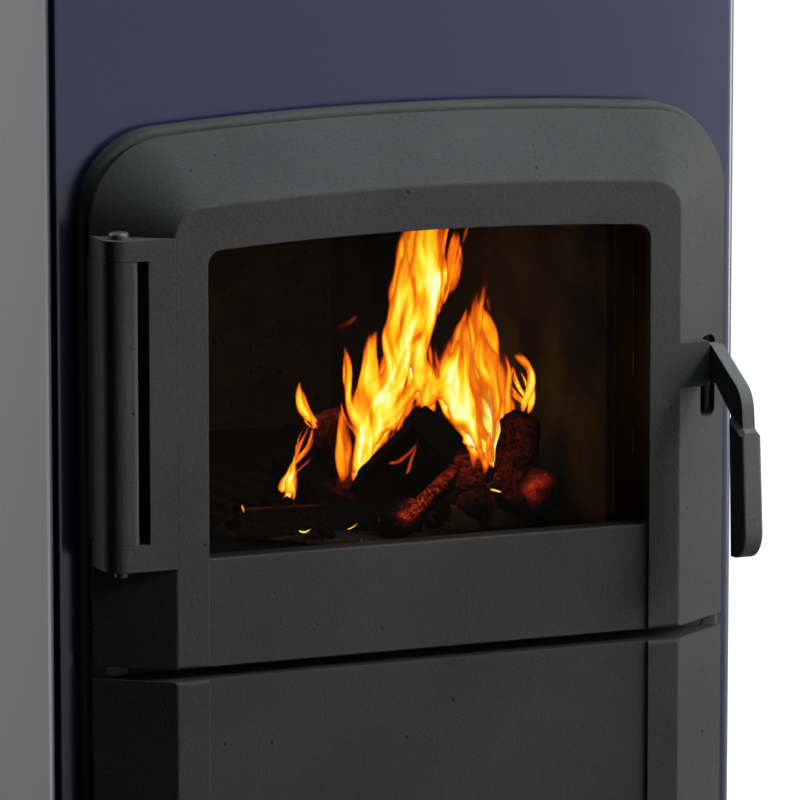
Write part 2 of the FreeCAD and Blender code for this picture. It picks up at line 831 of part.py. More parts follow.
slide_foot_z = ash_door_z + bevel_rise + air_slide_foot
slide_mid_z = slide_foot_z + air_slide_height / 2
slide_y = door_y + recess_depth - air_slide_thickness
slide_half = air_slot_pitch * (air_slots - 1) / 2 + air_slot_width / 2 + air_slide_margin
guide_half = slide_half + air_slide_travel
shield_y = door_y + door_wall + shield_stand_off
shield_half = door_half - ring_inner - shield_margin
shield_z = ash_door_z + ring_inner + shield_margin
shield_top = ash_door_top - ring_inner - shield_margin
shield_places = [
    (side * (shield_half - shield_post_inset), z)
    for side in (-1, 1)
    for z in (shield_z + shield_post_inset, shield_top - shield_post_inset)
]


def air_slot_tools(shift, y, depth):
    """Cutters for the row of air slots, moved along X by shift."""
    first = shift - air_slot_pitch * (air_slots - 1) / 2
    foot_z = slide_mid_z - air_slot_height / 2
    return [
        block(
            first + air_slot_pitch * k - air_slot_width / 2,
            first + air_slot_pitch * k + air_slot_width / 2,
            y,
            y + depth,
            foot_z,
            foot_z + air_slot_height,
        )
        for k in range(air_slots)
    ]


def ash_door():
    """Lower door with air slots, shield posts, hinge ears and latch boss, and its rope seal."""
    pan, seal = door_pan(ash_wire, door_wall)
    posts = [
        rod(shield_post_r, V(x, door_y + door_wall - face_edge_r, z), BACK, shield_stand_off + face_edge_r)
        for x, z in shield_places
    ]
    door = fuse(pan, *posts)
    foot_z = ash_door_z + bevel_rise + face_edge_r
    recess = block(-window_half, window_half, door_y, door_y + recess_depth, foot_z, ash_door_top)
    door = cut(door, recess, *air_slot_tools(0, door_y, door_wall))
    door = add_hinge(door, ash_door_z, ash_hinge_foot, ash_barrel)
    door = add_latch_boss(door, ash_pivot_z)
    drilled = shield_screw_length - shield_thickness
    hole_r = shield_screw_r + pivot_fit
    holes = [rod(hole_r, V(x, shield_y - drilled, z), BACK, drilled) for x, z in shield_places]
    rivets = [rod(air_rivet_r + pivot_fit, V(x, door_y, z), BACK, door_wall) for x, z in rivet_places()]
    return cut(door, *holes, *rivets), seal


def heat_shield():
    """Steel plate on posts inside the lower door."""
    plate = block(-shield_half, shield_half, shield_y, shield_y + shield_thickness, shield_z, shield_top)
    holes = [
        rod(shield_screw_r + pivot_fit, V(x, shield_y, z), BACK, shield_thickness) for x, z in shield_places
    ]
    return cut(plate, *holes)


def air_slide():
    """Slotted plate that opens or shuts the lower door's air slots."""
    back_y = slide_y + air_slide_thickness
    top_z = slide_foot_z + air_slide_height
    plate = block(-slide_half, slide_half, slide_y, back_y, slide_foot_z, top_z)
    return cut(plate, *air_slot_tools(-air_slide_travel, slide_y, air_slide_thickness))


def slide_knob():
    """Turned knob riveted to the air slide."""
    x = slide_half - air_slide_margin / 2
    neck = rod(knob_neck_r, V(x, slide_y, slide_mid_z), BACK * -1, knob_neck)
    head = rod(knob_r, V(x, slide_y - knob_neck, slide_mid_z), BACK * -1, knob_length - knob_neck)
    rims = [edge for edge in head.Edges if near(edge.Length, 2 * math.pi * knob_r)]
    return fuse(neck, head.makeFillet(fine_edge_r, rims))


def rivet_places():
    """X and Z of the rivets that hold the two slide guides."""
    reach = air_slide_height / 2 + air_guide_fit + air_guide_base / 2
    inset = guide_half - air_guide_base
    return [(x, slide_mid_z + side * reach) for x in (-inset, inset) for side in (-1, 1)]


def slide_guide(side):
    """Strip above or below the air slide, with a lip over the slide's edge."""
    edge = slide_mid_z + side * (air_slide_height / 2 + air_guide_fit)
    far = edge + side * air_guide_base
    lip = edge - side * (air_guide_lip + air_guide_fit)
    face_y = door_y + recess_depth
    lip_y = slide_y - air_guide_fit
    base = block(-guide_half, guide_half, lip_y, face_y, min(edge, far), max(edge, far))
    cover = block(-guide_half, guide_half, lip_y - air_guide_sheet, lip_y, min(lip, far), max(lip, far))
    hole_r = air_rivet_r + pivot_fit
    holes = [rod(hole_r, V(x, lip_y - air_guide_sheet, z), BACK, bevel_depth) for x, z in rivet_places()]
    return cut(fuse(base, cover), *holes)


def guide_rivet(x, z):
    """Rivet through a slide guide into the door."""
    y = slide_y - air_guide_fit - air_guide_sheet
    length = door_y + door_wall - y
    return screw(x, y, z, BACK, air_rivet_r, length, air_rivet_head_r, air_rivet_head)


def shell_front():
    """Front of the firebox, welded from five strips round both openings, with the bolt holes."""
    half = frame_half - shell_flange_margin
    low = [z for z in bolt_rows if z - bolt_boss_r < floor_z]
    solids = []
    for side in (-1, 1):
        a = side * opening_half
        b = side * half
        jamb = block(min(a, b), max(a, b), shell_front_y, box_front, floor_z, roof_top)
        x = side * bolt_x
        tabs = [
            block(x - bolt_boss_r, x + bolt_boss_r, shell_front_y, box_front, z - bolt_boss_r, floor_z)
            for z in low
        ]
        holes = [rod(bolt_r + hinge_fit, V(x, shell_front_y, z), BACK, shell_plate) for z in bolt_rows]
        solids.append(cut(fuse(jamb, *tabs) if tabs else jamb, *holes))
    crown_z = fire_door_top - opening_inset
    for foot_z, top_z in ((floor_z, ash_mouth_z), (ash_mouth_top, fire_mouth_z), (crown_z, roof_top)):
        solids.append(block(-opening_half, opening_half, shell_front_y, box_front, foot_z, top_z))
    return group(solids)


def shell_side(side):
    """Side plate of the firebox."""
    a = side * shell_inner
    b = side * shell_half
    return block(min(a, b), max(a, b), box_front, shell_rear_y, floor_top, roof_top - shell_plate)


def shell_rear():
    """Rear plate of the firebox."""
    return block(
        -shell_inner, shell_inner, shell_rear_y - shell_plate, shell_rear_y, floor_top, roof_top - shell_plate
    )


def shell_floor():
    """Floor of the firebox, which the ash pan stands on."""
    return block(-shell_half, shell_half, box_front, shell_rear_y, floor_z, floor_top)


def shell_roof():
    """Roof of the firebox with the hole for the flue collar's neck."""
    plate = block(-shell_half, shell_half, box_front, shell_rear_y, roof_top - shell_plate, roof_top)
    return plate.cut(rod(flue_r + flue_clearance, V(0, flue_y, roof_top - shell_plate), UP, shell_plate))


def side_bricks(side):
    """Two courses of firebrick along one side."""
    a = side * brick_half
    b = side * shell_inner
    low = block(min(a, b), max(a, b), box_front, brick_rear_y, bed_top, brick_mid_z)
    high = block(min(a, b), max(a, b), box_front, brick_rear_y, brick_mid_z + brick_joint, brick_top)
    return Part.makeCompound([low, high])


def rear_bricks():
    """Two upright firebricks across the rear."""
    seam = brick_joint / 2
    end_y = brick_rear_y + brick
    left = block(-shell_inner, -seam, brick_rear_y, end_y, bed_top, brick_top)
    right = block(seam, shell_inner, brick_rear_y, end_y, bed_top, brick_top)
    return Part.makeCompound([left, right])


grate_half = grate_width / 2
grate_y = box_front + grate_set_back


def bed_plate():
    """Cast bed of the fire, with a stepped opening for the grate."""
    end_y = shell_rear_y - shell_plate
    plate = block(-shell_inner, shell_inner, box_front, end_y, bed_top - bed_thickness, bed_top)
    fit = grate_clearance
    seat = block(
        -grate_half - fit,
        grate_half + fit,
        grate_y - fit,
        grate_y + grate_depth + fit,
        bed_top - grate_thickness,
        bed_top,
    )
    ledge = grate_ledge
    hole = block(
        ledge - grate_half,
        grate_half - ledge,
        grate_y + ledge,
        grate_y + grate_depth - ledge,
        bed_top - bed_thickness,
        bed_top,
    )
    return cut(plate, seat, hole)


def grate():
    """Cast grate with long slots, lying in the bed's step."""
    plate = block(-grate_half, grate_half, grate_y, grate_y + grate_depth, bed_top - grate_thickness, bed_top)
    span = grate_width - 2 * grate_slot_margin
    pitch = span / grate_slots
    first = grate_slot_margin - grate_half + pitch / 2
    slots = [
        block(
            first + pitch * k - grate_slot_width / 2,
            first + pitch * k + grate_slot_width / 2,
            grate_y + grate_slot_margin,
            grate_y + grate_depth - grate_slot_margin,
            bed_top - grate_thickness,
            bed_top,
        )
        for k in range(grate_slots)
    ]
    return cut(plate, *slots)


def bed_rails():
    """Bars welded to the firebox sides, which carry the bed."""
    top_z = bed_top - bed_thickness
    foot_z = top_z - bed_rail_height
    end_y = shell_rear_y - shell_plate
    inner = shell_inner - bed_rail_width
    left = block(-shell_inner, -inner, box_front, end_y, foot_z, top_z)
    right = block(inner, shell_inner, box_front, end_y, foot_z, top_z)
    return Part.makeCompound([left, right])


def baffle():
    """Firebrick slab over the fire, open at the front so that the smoke turns round it."""
    end_y = shell_rear_y - shell_plate
    lip_y = box_front + baffle_throat
    return block(-shell_inner, shell_inner, lip_y, end_y, brick_top, brick_top + baffle_thickness)


pan_half = opening_half - pan_side_gap
pan_front = box_front + pan_front_gap
pan_rear = shell_rear_y - shell_plate - pan_rear_gap


def ash_pan():
    """Open sheet tray that slides on the firebox floor."""
    outer = block(-pan_half, pan_half, pan_front, pan_rear, floor_top, floor_top + pan_height)
    inner = block(
        pan_sheet - pan_half,
        pan_half - pan_sheet,
        pan_front + pan_sheet,
        pan_rear - pan_sheet,
        floor_top + pan_sheet,
        floor_top + pan_height,
    )
    return outer.cut(inner)


def ash_pan_grip():
    """Bent rod on the front of the ash pan."""
    z = floor_top + pan_grip_height
    half = pan_grip_width / 2
    bar_y = pan_front - pan_grip_reach
    bar = rod(pan_grip_r, V(-half, bar_y, z), RIGHT, pan_grip_width)
    ends = [Part.makeSphere(pan_grip_r, V(x, bar_y, z)) for x in (-half, half)]
    legs = [rod(pan_grip_r, V(x, bar_y, z), BACK, pan_grip_reach) for x in (-half, half)]
    return fuse(bar, *ends, *legs)


def front_panel():
    """Enamelled tray: rounded front edges, folded sides, cut out for the frame."""
    def tray(gap, radius):
        solid = block(
            gap - half_width,
            half_width - gap,
            panel_y + gap,
            panel_y + panel_fold + gap,
            casing_foot_z + gap,
            casing_top_z - gap,
        )
        front = edges_at(solid, lambda p: near(p.y, panel_y + gap))
        return solid.makeFillet(radius, front)

    panel = tray(0, panel_edge_r).cut(tray(sheet, panel_edge_r - sheet))
    hole = slab(frame_wire(panel_y, frame_seat), panel_fold)
    return panel.cut(hole)


def casing_side(side):
    """Side sheet with a flange folded in at the rear."""
    a = side * casing_inner
    b = side * half_width
    c = side * (half_width - rear_flange)
    end_y = rear_y - sheet
    wall = block(min(a, b), max(a, b), panel_y + panel_fold, end_y, casing_foot_z, casing_top_z)
    flange = block(min(b, c), max(b, c), end_y - sheet, end_y, casing_foot_z, casing_top_z)
    holes = [
        rod(casing_screw_r + pivot_fit, V(x, end_y - sheet, z), BACK, sheet)
        for x, z in casing_screw_places()
        if x * side > 0
    ]
    return cut(fuse(wall, flange), *holes)


def casing_screw_places():
    """X and Z of the screws through the rear panel into the side flanges."""
    x = half_width - rear_flange / 2
    low = casing_foot_z + casing_screw_edge
    step = (casing_top_z - casing_screw_edge - low) / (casing_screw_rows - 1)
    return [(side * x, low + step * k) for side in (-1, 1) for k in range(casing_screw_rows)]


def rear_panel():
    """Rear sheet with a row of air slots low down and another high up."""
    sheet_y = rear_y - sheet
    panel = block(-half_width, half_width, sheet_y, rear_y, casing_foot_z, casing_top_z)
    first = -vent_pitch * (vent_count - 1) / 2
    tools = []
    for foot_z in (casing_foot_z + vent_edge, casing_top_z - vent_edge - vent_height):
        for k in range(vent_count):
            x = first + vent_pitch * k
            tools.append(
                block(x - vent_width / 2, x + vent_width / 2, sheet_y, rear_y, foot_z, foot_z + vent_height)
            )
    hole_r = casing_screw_r + pivot_fit
    tools += [rod(hole_r, V(x, sheet_y, z), BACK, sheet) for x, z in casing_screw_places()]
    return cut(panel, *tools)


def casing_spacer(side, y, z):
    """Bent strip that holds the casing off the firebox."""
    a = side * shell_half
    b = side * casing_inner
    t = spacer_sheet * side
    f = spacer_flange
    inner = block(min(a, a + t), max(a, a + t), y, y + f, z, z + f)
    outer = block(min(b - t, b), max(b - t, b), y - f, y, z, z + f)
    web = block(min(a, b), max(a, b), y - spacer_sheet / 2, y + spacer_sheet / 2, z, z + f)
    return fuse(inner, outer, web)


def casing_spacers():
    """Eight spacers, two high and two low on each side."""
    rows = (floor_top + spacer_edge, roof_top - spacer_edge - spacer_flange)
    columns = (box_front + spacer_edge, shell_rear_y - spacer_edge)
    return Part.makeCompound([casing_spacer(s, y, z) for s in (-1, 1) for y in columns for z in rows])


def top_plate():
    """Cast plate over the casing with a hole for the flue collar's neck."""
    half = half_width + top_plate_overhang
    top_z = casing_top_z + top_plate_thickness
    plate = block(-half, half, panel_y - top_plate_overhang, rear_y, casing_top_z, top_z)
    plate = plate.makeFillet(top_plate_edge_r, edges_at(plate, lambda p: near(p.z, top_z)))
    inner = half - top_plate_wall
    hollow = block(
        -inner,
        inner,
        panel_y - top_plate_overhang + top_plate_wall,
        rear_y - top_plate_wall,
        casing_top_z,
        top_z - top_plate_wall,
    )
    hole = rod(flue_r + flue_clearance, V(0, flue_y, casing_top_z), UP, top_plate_thickness)
    screws = [
        rod(flue_screw_r + pivot_fit, V(x, y, top_z - flue_screw_length + flue_flange), UP, flue_screw_length)
        for x, y in flue_screw_places()
    ]
    return cut(plate, hollow, hole, *screws)


def flue_screw_places():
    """X and Y of the screws round the flue collar's flange."""
    turns = [math.pi * (2 * k + 1) / flue_screw_count for k in range(flue_screw_count)]
    return [
        (flue_screw_circle_r * math.cos(t), flue_y + flue_screw_circle_r * math.sin(t)) for t in turns
    ]


def flue_collar():
    """Cast collar: neck down into the firebox roof, flange on the top plate, spigot for the pipe."""
    top_z = casing_top_z + top_plate_thickness
    neck_z = roof_top - shell_plate
    tube = rod(flue_r, V(0, flue_y, neck_z), UP, top_z + flue_flange + flue_spigot - neck_z)
    flange = rod(flue_flange_r, V(0, flue_y, top_z), UP, flue_flange)
    bore = rod(flue_r - flue_wall, V(0, flue_y, neck_z), UP, top_z + flue_flange + flue_spigot - neck_z)
    holes = [rod(flue_screw_r + pivot_fit, V(x, y, top_z), UP, flue_flange) for x, y in flue_screw_places()]
    return cut(fuse(tube, flange), bore, *holes)


def foot_places():
    """X and Y of the four feet, in the middle of the base's corner gussets."""
    h = base_gusset / 2
    return [(side * (shell_half - h), y) for side in (-1, 1) for y in (box_front + h, shell_rear_y - h)]


def base_frame():
    """Four upright walls under the firebox, with a gusset in each corner for its foot."""
    outer = block(-shell_half, shell_half, box_front, shell_rear_y, foot_pad, floor_z)
    inner = block(
        base_wall - shell_half,
        shell_half - base_wall,
        box_front + base_wall,
        shell_rear_y - base_wall,
        foot_pad,
        floor_z,
    )
    h = base_gusset / 2
    plate_top = foot_pad + base_gusset_thickness
    plates = [block(x - h, x + h, y - h, y + h, foot_pad, plate_top) for x, y in foot_places()]
    body = fuse(outer.cut(inner), *plates)
    hole_r = foot_stud_r + pivot_fit
    holes = [rod(hole_r, V(x, y, foot_pad), UP, base_gusset_thickness) for x, y in foot_places()]
    return cut(body, *holes)


def foot(x, y):
    """Levelling foot: round pad and stud."""
    pad = rod(foot_pad_r, V(x, y, 0), UP, foot_pad)
    return fuse(pad, rod(foot_stud_r, V(x, y, 0), UP, foot_pad + foot_stud))


def group(solids):
    """Separate solids that share one node."""
    return Part.makeCompound(list(solids))


def build():
    """Every piece by its node name."""
    upper, upper_seal = fire_door()
    lower, lower_seal = ash_door()
    return {
        "base_frame": base_frame(),
        "levelling_feet": group(foot(x, y) for x, y in foot_places()),
        "firebox_floor": shell_floor(),
        "firebox_side_left": shell_side(-1),
        "firebox_side_right": shell_side(1),
        "firebox_rear": shell_rear(),
        "firebox_roof": shell_roof(),
        "firebox_front": shell_front(),
        "casing_side_left": casing_side(-1),
        "casing_side_right": casing_side(1),
        "front_panel": front_panel(),
        "rear_panel": rear_panel(),
        "casing_spacers": casing_spacers(),
        "casing_screws": group(casing_screw(x, z) for x, z in casing_screw_places()),
        "top_plate": top_plate(),
        "flue_collar": flue_collar(),
        "flue_collar_screws": group(flue_screw(x, y) for x, y in flue_screw_places()),
        "door_frame": door_frame(),
        "frame_bolts": group(frame_bolt(x, z) for x, z in bolt_places),
        "frame_nuts": group(frame_nut(x, z) for x, z in bolt_places),
        "latch_bars": group(latch_bar(z) for z in pivots),
        "firebricks_left": side_bricks(-1),
        "firebricks_right": side_bricks(1),
        "firebricks_rear": rear_bricks(),
        "bed_plate": bed_plate(),
        "bed_rails": bed_rails(),
        "grate": grate(),
        "baffle_slab": baffle(),
        "ash_pan": ash_pan(),
        "ash_pan_grip": ash_pan_grip(),
        "fire_door": upper,
        "fire_door_seal": upper_seal,
        "fire_door_hinge_pin": hinge_pin(fire_door_z, fire_hinge_foot, fire_barrel),
        "fire_door_pivot_pin": pivot_pin(fire_pivot_z),
        "fire_door_handle": handle(fire_pivot_z),
        "window_gasket": window_gasket(),
        "window_glass": slab(window_wire(glass_y, glass_lap), glass_thickness),
        "window_clips": group(glass_clip(x, z) for x, z in clip_places()),
        "window_clip_screws": group(clip_screw(x, z) for x, z in clip_places()),
        "ash_door": lower,
        "ash_door_seal": lower_seal,
        "ash_door_hinge_pin": hinge_pin(ash_door_z, ash_hinge_foot, ash_barrel),
        "ash_door_pivot_pin": pivot_pin(ash_pivot_z),
        "ash_door_handle": handle(ash_pivot_z),
        "heat_shield": heat_shield(),
        "heat_shield_screws": group(shield_screw(x, z) for x, z in shield_places),
        "air_slide": air_slide(),
        "air_slide_knob": slide_knob(),
        "air_slide_guides": group(slide_guide(side) for side in (-1, 1)),
        "air_slide_rivets": group(guide_rivet(x, z) for x, z in rivet_places()),
    }


def main():
    """Write every piece and print the places that the joints and mounts use."""
    os.makedirs("parts", exist_ok=True)
    pieces = build()
    for name, shape in pieces.items():
        solids = shape.Solids
        sound = shape.isValid() and all(solid.isClosed() for solid in solids)
        state = "sound" if sound else "FAULTY"
        print(f"{name}: {len(solids)} solid(s), {shape.Volume / 1000:.1f} cm3, {state}")
        shape.exportStep(f"parts/{name}.step")
    print("pieces", len(pieces))
    print("hinge axis x, y", round(pin_x, 3), round(pin_y, 3))
    print("handle pivots y, z", round(pivot_y, 3), [round(z, 3) for z in pivots])
    spigot_z = casing_top_z + top_plate_thickness + flue_flange
    print("flue axis y, spigot foot z", round(flue_y, 3), round(spigot_z, 3))
    print("feet", [(round(x, 3), round(y, 3)) for x, y in foot_places()])


main()
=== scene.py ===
# %% [markdown]
# # Dressing a workshop stove
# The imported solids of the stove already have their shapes, bodies and joints. This lesson gives them
# their finishes, lays a fire behind the window and sets up the light and the camera. Everything is
# in metres, with X to the right, Y to the back and Z up, in the frame that the solids came in.

# %% Load the solids
import math

import bpy
import numpy as np
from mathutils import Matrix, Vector


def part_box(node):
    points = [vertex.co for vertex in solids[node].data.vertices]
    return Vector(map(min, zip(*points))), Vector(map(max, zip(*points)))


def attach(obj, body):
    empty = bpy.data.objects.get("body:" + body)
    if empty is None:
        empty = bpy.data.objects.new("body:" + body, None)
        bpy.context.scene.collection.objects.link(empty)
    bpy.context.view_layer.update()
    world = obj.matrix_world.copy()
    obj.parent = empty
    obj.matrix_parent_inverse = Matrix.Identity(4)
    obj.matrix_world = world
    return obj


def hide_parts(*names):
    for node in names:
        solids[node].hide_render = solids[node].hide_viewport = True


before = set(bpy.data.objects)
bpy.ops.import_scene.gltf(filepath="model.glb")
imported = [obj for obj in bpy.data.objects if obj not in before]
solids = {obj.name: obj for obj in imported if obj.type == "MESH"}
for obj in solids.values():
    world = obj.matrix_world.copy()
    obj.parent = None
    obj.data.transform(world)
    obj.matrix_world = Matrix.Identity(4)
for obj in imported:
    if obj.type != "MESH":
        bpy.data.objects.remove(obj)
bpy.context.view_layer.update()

# %% [markdown]
# ## Camera
# A long lens far away keeps upright edges nearly parallel, as a catalogue picture does. The camera
# stands to the front left, a little above the window, and looks down without any shift, so the
# other views of the stove stay centred too.

# %% Stand the camera
view_turn = math.radians(-22.78)
view_rise = math.radians(9.86)
view_aim = Vector((-0.01756, -0.27587, 0.50659))
view_reach = 3.901
away = Vector((
    math.sin(view_turn) * math.cos(view_rise),
    -math.cos(view_turn) * math.cos(view_rise),
    math.sin(view_rise),
))
camera = bpy.data.objects.new("camera", bpy.data.cameras.new("camera"))
camera.location = view_aim + away * view_reach
camera.rotation_euler = away.to_track_quat("Z", "Y").to_euler()
camera.data.lens = 298.33
camera.data.sensor_width = 36.0
camera.data.clip_end = 50.0
bpy.context.collection.objects.link(camera)
bpy.context.scene.camera = camera
bpy.context.scene.view_settings.view_transform = "Standard"
print("camera at", [round(x, 3) for x in camera.location])

# %% [markdown]
# ## Node trees as arithmetic
# A finish is a small program: noise in, colour and roughness out. Linking its nodes by hand takes
# many lines, so one class wraps an output socket. Python's own operators on it add Math nodes, and
# one method adds any other node, with its settings first and then its sockets.


# %% A socket that can be calculated with
class Wire:
    """An output of a node tree. Arithmetic on it adds Math nodes to the tree."""

    def __init__(self, tree, socket=None):
        self.tree = tree
        self.socket = socket

    def node(self, kind, settings, sockets, out=0):
        """Add a node: its settings first, then the values or wires of its sockets."""
        made = self.tree.nodes.new("ShaderNode" + kind)
        for name, value in settings.items():
            if name == "stops":
                points = made.color_ramp.elements
                while len(points) < len(value):
                    points.new(1.0)
                for point, (place, colour) in zip(points, value):
                    point.position = place
                    point.color = (*colour, 1.0)
            else:
                setattr(made, name, value)
        for name, value in sockets.items():
            if isinstance(value, Wire):
                self.tree.links.new(value.socket, made.inputs[name])
            else:
                made.inputs[name].default_value = value
        return Wire(self.tree, made.outputs[out])

    def math(self, operation, first, second=0.0):
        return self.node("Math", {"operation": operation}, {0: first, 1: second})

    def __add__(self, other):
        return self.math("ADD", self, other)

    def __sub__(self, other):
        return self.math("SUBTRACT", self, other)

    def __rsub__(self, other):
        return self.math("SUBTRACT", other, self)

    def __mul__(self, other):
        return self.math("MULTIPLY", self, other)

    __radd__ = __add__
    __rmul__ = __mul__

    def ease(self, low, high):
        """Smooth step from 0 at low to 1 at high."""
        sockets = {"Value": self, "From Min": low, "From Max": high}
        return self.node("MapRange", {"interpolation_type": "SMOOTHSTEP"}, sockets)

    def noise(self, scale, detail=2.0, rough=0.5, twist=0.0):
        """Cloudy noise about one half, read at this place."""
        sockets = {"Vector": self, "Scale": scale, "Detail": detail, "Roughness": rough, "Distortion": twist}
        return self.node("TexNoise", {}, sockets)

    def cells(self, scale):
        """Distance to the nearest of scattered points."""
        return self.node("TexVoronoi", {}, {"Vector": self, "Scale": scale}, "Distance")

    def chance(self, scale):
        """Random number from 0 to 1 for each cell of the same scattered points."""
        colour = self.node("TexVoronoi", {}, {"Vector": self, "Scale": scale}, "Color")
        return self.node("SeparateColor", {}, {"Color": colour}, "Red")

    def part(self, axis):
        """One coordinate of a place."""
        return self.node("SeparateXYZ", {}, {"Vector": self}, axis)

    def stretch(self, x, y, z):
        """The same place with its axes scaled."""
        return self.node("Mapping", {}, {"Vector": self, "Scale": (x, y, z)})

    def ramp(self, *stops):
        """Colour from a value, through the stops given."""
        return self.node("ValToRGB", {"stops": stops}, {"Fac": self})

    def blend(self, low, high):
        """Mix of two colours, with this wire as the share of the second."""
        pair = [x if isinstance(x, Wire) else (*x, 1.0) for x in (low, high)]
        return self.node("Mix", {"data_type": "RGBA"}, {0: self, 6: pair[0], 7: pair[1]}, out=2)

    def bump(self, depth, strength=1.0, under=None):
        """Normal of a surface whose height is this wire, in units of depth."""
        sockets = {"Height": self, "Distance": depth, "Strength": strength}
        if under is not None:
            sockets["Normal"] = under
        return self.node("Bump", {}, sockets, "Normal")


# %% [markdown]
# Every finish starts the same way: a Principled shader, with what is the same all over set on the
# shader's own sockets, and the object's coordinates, which stay put when the stove moves.


# %% Start and close a finish
def start_finish(name, constants):
    """New material; returns it, its shader and the place on the object."""
    material = bpy.data.materials.new(name)
    material.use_nodes = True
    shader = material.node_tree.nodes["Principled BSDF"]
    for socket, value in constants.items():
        shader.inputs[socket].default_value = value
    place = Wire(material.node_tree).node("TexCoord", {}, {}, "Object")
    return material, shader, place


def close_finish(shader, links):
    """Link each wire to the shader's socket of that name."""
    for socket, wire in links.items():
        wire.tree.links.new(wire.socket, shader.inputs[socket])


def rounded_edge(place, radius):
    """Normal that reads sharp edges as rounded off by the radius."""
    return place.node("Bevel", {"samples": 6}, {"Radius": radius})


def scaled(colour, share):
    """A colour made darker or lighter."""
    return tuple(x * share for x in colour)


finishes = {}

# %% [markdown]
# ## Sand-cast iron
# The doors, frame, top plate and flue collar are cast in sand and painted with matte stove black.
# The sand leaves a fine grain, a few pits where grains broke away, and faint clouds in the paint.
# A picture of it would fit one size only, so the grain is noise on the object's coordinates.


# %% Stove black over cast iron
def soot_and_reveal_shade(place):
    """1 inside the firebox, for soot, and in the window's reveal, for painted shade; 0 elsewhere."""
    off_middle, depth, height = place.math("ABSOLUTE", place.part("X")), place.part("Y"), place.part("Z")
    narrow = 1.0 - off_middle.ease(0.152, 0.158)
    firebox = depth.ease(-0.24, -0.225) * height.ease(0.39, 0.396) * (1.0 - height.ease(0.69, 0.7))
    reveal = depth.ease(-0.279, -0.273) * height.ease(0.414, 0.42) * (1.0 - height.ease(0.609, 0.613))
    return narrow * place.math("MAXIMUM", firebox, reveal)


def stove_black(name, tone, roughness, grain):
    """Cloudy black with sand grain and pits as bump, pale dust, firebox soot and painted shade in the
    reveal.
    """
    material, shader, place = start_finish(name, {"Specular IOR Level": 0.02})
    cloud = place.noise(11.0, 4.0, 0.6)
    sand = place.noise(640.0, 3.0, 0.65)
    lump = place.noise(130.0, 2.0)
    pit = (1.0 - place.cells(70.0).ease(0.04, 0.12)) * place.chance(70.0).ease(0.74, 0.8)
    dust = place.noise(1500.0, 1.0).ease(0.76, 0.82)
    shade = cloud * 0.7 + sand * 0.8 - 0.25 - pit * 0.5
    colour = shade.blend(scaled(tone, 0.55), scaled(tone, 1.45))
    colour = (dust * 0.3).blend(colour, (0.3, 0.3, 0.29))
    # Near black: soot inside the firebox, painted shade in the window's reveal.
    colour = (soot_and_reveal_shade(place) * 0.88).blend(colour, (0.004, 0.0037, 0.0034))
    height = sand * 0.55 + lump * 0.5 - pit * 1.3
    close_finish(shader, {
        "Base Color": colour,
        "Roughness": roughness + (cloud - 0.5) * 0.2 + (sand - 0.5) * 0.15,
        "Normal": height.bump(grain, 0.5, rounded_edge(place, 0.0009)),
    })
    return material


finishes["black_cast"] = stove_black("stove_black", (0.0418, 0.041, 0.041), 0.58, 0.0006)
# The handle is the same stove black at about twice the tone: painted light for the light on its front.
finishes["handle_cast"] = stove_black("handle_black_painted_light", (0.086, 0.087, 0.087), 0.46, 0.0003)
print("cast finishes", sorted(finishes))

# %% [markdown]
# ## Enamel
# The front panel is dipped in dark blue glass enamel and fired, so it mirrors the studio softly and
# has the slight waviness of a fired coat. The sides and the rear are a satin grey with a dry, even
# grain. Both have a few dark pinholes.


# %% Blue front and grey sides
def fired_enamel(name, deep, tint, roughness, wave, gloss):
    """Enamel: slow drift of tone, waviness as bump, dark pinholes."""
    material, shader, place = start_finish(name, {"Specular IOR Level": gloss})
    drift = place.noise(3.0, 2.0)
    grain = place.noise(1100.0, 2.0)
    pinhole = (1.0 - place.cells(26.0).ease(0.012, 0.03)) * place.chance(26.0).ease(0.8, 0.84)
    colour = (drift * 0.8 + grain * 0.3 - 0.05).blend(deep, tint)
    colour = (pinhole * 0.5).blend(colour, scaled(deep, 0.3))
    peel = place.noise(95.0, 2.0) * 0.8 + grain * 0.12
    close_finish(shader, {
        "Base Color": colour,
        "Roughness": roughness + (drift - 0.5) * 0.1 + (grain - 0.5) * 0.08 + pinhole * 0.3,
        "Normal": peel.bump(wave, 0.3),
    })
    return material


finishes["front_enamel"] = fired_enamel(
    "blue_enamel", (0.005, 0.006, 0.034), (0.008, 0.0095, 0.044), 0.2, 0.0003, 0.5
)
finishes["side_enamel"] = fired_enamel(
    "grey_enamel", (0.215, 0.211, 0.219), (0.262, 0.258, 0.267), 0.55, 0.0003, 0.12
)
print("enamels ready")

# %% [markdown]
# ## Steel
# Four steels are left: folded sheet under heat-proof black, hot-rolled plate with its blue-grey
# mill scale inside the firebox, zinc-plated screws, and oil-blackened pins and bolts.


# %% Sheet, plate, zinc and blackened steel
def black_sheet():
    """Matte black paint with a fine spray grain and faint rubs."""
    material, shader, place = start_finish("black_sheet_paint", {"Specular IOR Level": 0.3})
    spray = place.noise(700.0, 2.0)
    rub = place.stretch(1.0, 1.0, 6.0).noise(25.0, 4.0, 0.6)
    close_finish(shader, {
        "Base Color": (rub * 0.8 + spray * 0.4 - 0.1).blend((0.018, 0.018, 0.019), (0.04, 0.04, 0.041)),
        "Roughness": 0.66 + (rub - 0.5) * 0.3,
        "Normal": spray.bump(0.0003, 0.35, rounded_edge(place, 0.0005)),
    })
    return material


